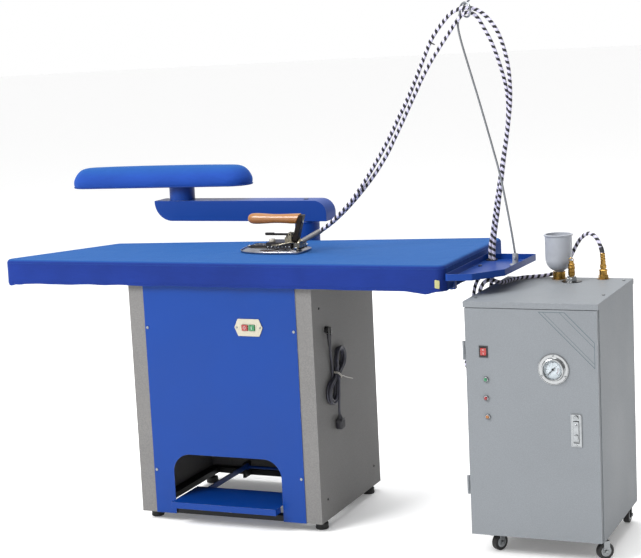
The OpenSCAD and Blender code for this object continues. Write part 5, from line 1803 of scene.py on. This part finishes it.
    def panel(self) -> None:
        """Adds the lamp lenses and their bezels, the rocker's marks and the lock's barrel."""
        y = self.front
        for name, (x, z), finish in zip(("heating", "low_water", "power"), self.lamps,
            (LAMP_GREEN, LAMP_RED, LAMP_AMBER)):
            dome = [(0, 0), (5.2, 0), (5.2, 1.6), (4.4, 3.2), (2.6, 4.3), (0, 4.7)]
            Shape().lathe(dome, (x, y - 4.6, z), Axis.FRONT, 32).piece(f"{name}_lamp_lens", finish, "door",
                "switch_black_plastic")
            collar = [(5.3, 4.0), (5.3, 6.2), (6.4, 6.4), (8.0, 4.6), (8.4, 1.4), (8.4, 0.1), (5.3, 0.1),
                (5.3, 4.0)]
            Shape().lathe(collar, (x, y, z), Axis.FRONT, 40).piece(f"{name}_lamp_collar", LOCK_CHROME, "door",
                "switch_black_plastic", 30)
        marks = Shape()
        marks.slab(rounded([(881.4, 604.5), (882.6, 604.5), (882.6, 609.5), (881.4, 609.5)], 0.4, 3), -y + 3.3,
            -y + 3.8, 0.15, Axis.FRONT)
        ring = [Vector((882 + 2.3 * math.cos(t), y - 3.6, 617.5 + 2.3 * math.sin(t))) for t in
                (2 * math.pi * k / 24 for k in range(25))]
        marks.tube(ring, 0.4, 8)
        marks.piece("rocker_marks", MARK_WHITE, "rocker", "rocker_red")
        lock = Shape()
        lock.lathe([(0, 0), (6.6, 0), (6.6, 1.6), (5.8, 2.4), (3.4, 2.6), (3.0, 2.0), (0, 2.0)],
            (1149, y - 4.8, 430.5), Axis.FRONT, 36)
        lock.block((1148.3, y - 7.3, 427.4), (1149.7, y - 6.6, 433.6), 0.3)
        for z in (350.5, 436.5):
            dome_screw(lock, (1149 if z < 400 else 1160, y - 2.4, z), Axis.FRONT, 2.4)
        rim = rounded([(1133.4, 345.4), (1164.6, 345.4), (1164.6, 441.6), (1133.4, 441.6)], 3.4, 5)
        inner = rounded([(1136, 348), (1162, 348), (1162, 439), (1136, 439)], 2.4, 5)
        rings = [[(px, y - h, pz) for px, pz in plan] for plan,
            h in ((rim, 0.2), (rim, 2.6), (inner, 3.4), (inner, 2.2))]
        lock.loft(rings, caps=(False, False))
        lock.piece("lock_barrel", LOCK_CHROME, "door", "lock_chrome", 30)
        bump = Shape()
        bump.slab(rounded([(1143, 366), (1155, 366), (1155, 384), (1143, 384)], 5.5, 6), -y + 5.2, -y + 8.0,
            1.2, Axis.FRONT)
        bump.lathe([(0, 0), (4.6, 0), (4.4, 1.4), (3, 2.2), (0, 2.5)], (1149, y - 5.4, 408), Axis.FRONT, 28)
        bump.piece("lock_grip", LOCK_CHROME, "lock", "lock_chrome")

    def band(self) -> None:
        """Draws the plain slanted band of fine printed lines in the door's upper corner."""
        shape = Shape()
        y = self.front
        for share, wide in ((0.0, 0.9), (0.16, 0.6), (0.8, 0.6), (1.0, 0.9)):
            a, b = Vector((1048 + 74 * share, 731)), Vector((1206, 574 + 73 * share))
            side = unit(Vector((b.y - a.y, a.x - b.x))) * wide
            shape.loft([[(p.x, y - lift, p.y) for p in (a - side, a + side, b + side, b - side)]
                for lift in (-0.05, 0.12)])
        for a, b in (((1048, 731), (1122, 731)), ((1206, 574), (1206, 647))):
            low, high = (a[0] - 0.7, y - 0.12, a[1] - 0.7), (b[0] + 0.7, y + 0.05, b[1] + 0.7)
            shape.loft([[(low[0], v, low[2]), (high[0], v, low[2]), (high[0], v, high[2]),
                (low[0], v, high[2])] for v in (low[1], high[1])])
        shape.piece("door_band_lines", TRIM_INK, "door", "case_grey_paint")

    def brass(self) -> None:
        """Makes the safety valve, its flange and nut, the nuts round the funnel and the steam outlet, and the
        funnel's lip.
        """
        t = self.top
        flange = [(8, 0.1), (30, 0.1), (30.5, 0.8), (30, 2.0), (27, 2.6), (18, 3.0), (8, 3.0)]
        Shape().lathe(flange, (1049, 292, t), Axis.Z, 56).piece("valve_flange", SWITCH_BLACK, "stand",
            "fitting_brass", 40)
        nut = Shape().lathe([(0, 2.6), (17, 2.6), (17, 11.5), (15, 13), (0, 13)], (1049, 292, t), Axis.Z, 6)
        nut.lathe([(13.4, 12.8), (14.6, 13.6), (14.6, 15.4), (13, 16.4), (0, 16.4)], (1049, 292, t), Axis.Z, 40)
        nut.piece("valve_nut", GAUGE_STEEL, "stand", "fitting_brass", 30)
        body = [(0, 0), (7.8, 0), (7.8, 114), (10.4, 116), (10.4, 124), (8.6, 126), (8.6, 136), (10.8, 138),
            (10.8, 141),
                (9.4, 142.4), (9.4, 146), (10.6, 147.4), (10.6, 150), (7.4, 152), (7.4, 157), (5.6, 159.5),
                (0, 160)]
        stem = Shape().lathe(body, (1049, 292, 661), Axis.Z, 40)
        for k in range(3):
            stem.lathe([(7, 0), (11.3, 0.3), (11.5, 1.2), (11.3, 2.1), (7, 2.4)], (1049, 292, 786 + 5 * k),
                Axis.Z, 40)
        ring = [Vector((1049 + 7 * math.cos(a), 292, 823 + 6 * math.sin(a)))
            for a in (2 * math.pi * k / 28 for k in range(29))]
        stem.tube(ring, 1.1, 8)
        valve = stem.piece("safety_valve_body", TURNED_BRASS, "stand", "fitting_brass", 30)
        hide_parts("safety_valve")
        nuts = Shape()
        nuts.lathe([(12.2, 5), (21, 5), (21, 15), (19.6, 16.6), (12.2, 16.6)], (997, 343, t), Axis.Z, 6)
        nuts.lathe([(9, 25), (13.2, 25), (13.4, 27), (11, 29), (9, 29)], (1131, 354, t), Axis.Z, 40)
        nuts.lathe([(8, 34), (11.2, 34), (11.2, 42), (10, 43.5), (8, 43.5)], (1131, 354, t), Axis.Z, 6)
        nuts.lathe([(12, 0.1), (20, 0.1), (20, 1.6), (12, 1.8)], (1131, 354, t), Axis.Z, 48)
        nuts.lathe([(12, 0.1), (24, 0.1), (24, 1.8), (12, 2.0)], (997, 343, t), Axis.Z, 48)
        nuts.piece("outlet_nuts", TURNED_BRASS, "stand", "fitting_brass", 30)
        lip = [(41.2, 111), (43.9, 110.6), (44.6, 112), (44.4, 114.4), (42.4, 115), (38.6, 114.6), (38.4, 113),
            (40, 112)]
        Shape().lathe([*lip, lip[0]], (997, 343, 780), Axis.Z, 72).piece("funnel_lip", FUNNEL_PP, "stand",
            "funnel_white", 50)

    def castors(self) -> None:
        """Adds the castors' hubs, axle nuts and swivel rings."""
        spots = (("front_wheel_left", (878, -28), -30.0, 24.0), ("front_wheel_right", (1188, -28), -50.0, 24.0),
                 ("rear_wheel_left", (865, 343), 0.0, 0.0), ("rear_wheel_right", (1192, 343), 0.0, 0.0))
        forks = {"front_wheel_left": "fork_left", "front_wheel_right": "fork_right"}
        for body, (x, y), turn, trail in spots:
            a = math.radians(turn)
            way = Vector((math.cos(a), math.sin(a), 0.0))
            hub_at = Vector((x - math.sin(a) * trail, y + math.cos(a) * trail, 25.0))
            hub = Shape()
            for side in (way, -way):
                hub.lathe([(4.2, 8.8), (15, 8.8), (15.6, 9.2), (14.8, 9.7), (7, 9.3), (6.4, 9.9), (4.2, 9.9)],
                    hub_at, side, 36)
            hub.piece(f"{body}_hub", SOCKET_GREY, body, "castor_tyre", 40)
            nut = Shape()
            for side in (way, -way):
                nut.lathe([(0, 13), (6.2, 13), (6.2, 16), (4.6, 17), (0, 17.2)], hub_at, side, 6)
            nut.piece(f"{body}_axle_nut", ZINC_BOLT, forks.get(body, "stand"), "black_frame_paint", 30)
        rings = Shape()
        for x, y in ((878, -28), (1188, -28)):
            rings.lathe([(7, 56.2), (17, 56.2), (18.4, 57.6), (17, 60), (7, 60)], (x, y, 0), Axis.Z, 40)
        rings.piece("castor_swivel_rings", ZINC_BOLT, "stand", "black_frame_paint", 40)


def main() -> None:
    """Builds the studio, the cords and then every sub-assembly in order."""
    for part in (Studio(), MainsLead(), SteamLines(), PaddedTop(), Cabinet(), SideTray(), SleeveArm(), Iron(),
        Generator()):
        LOG.info("building %s", type(part).__name__)
        part.build()


if __name__ == "__main__":
    logging.basicConfig(level=logging.INFO, format="%(name)s: %(message)s")
    main()
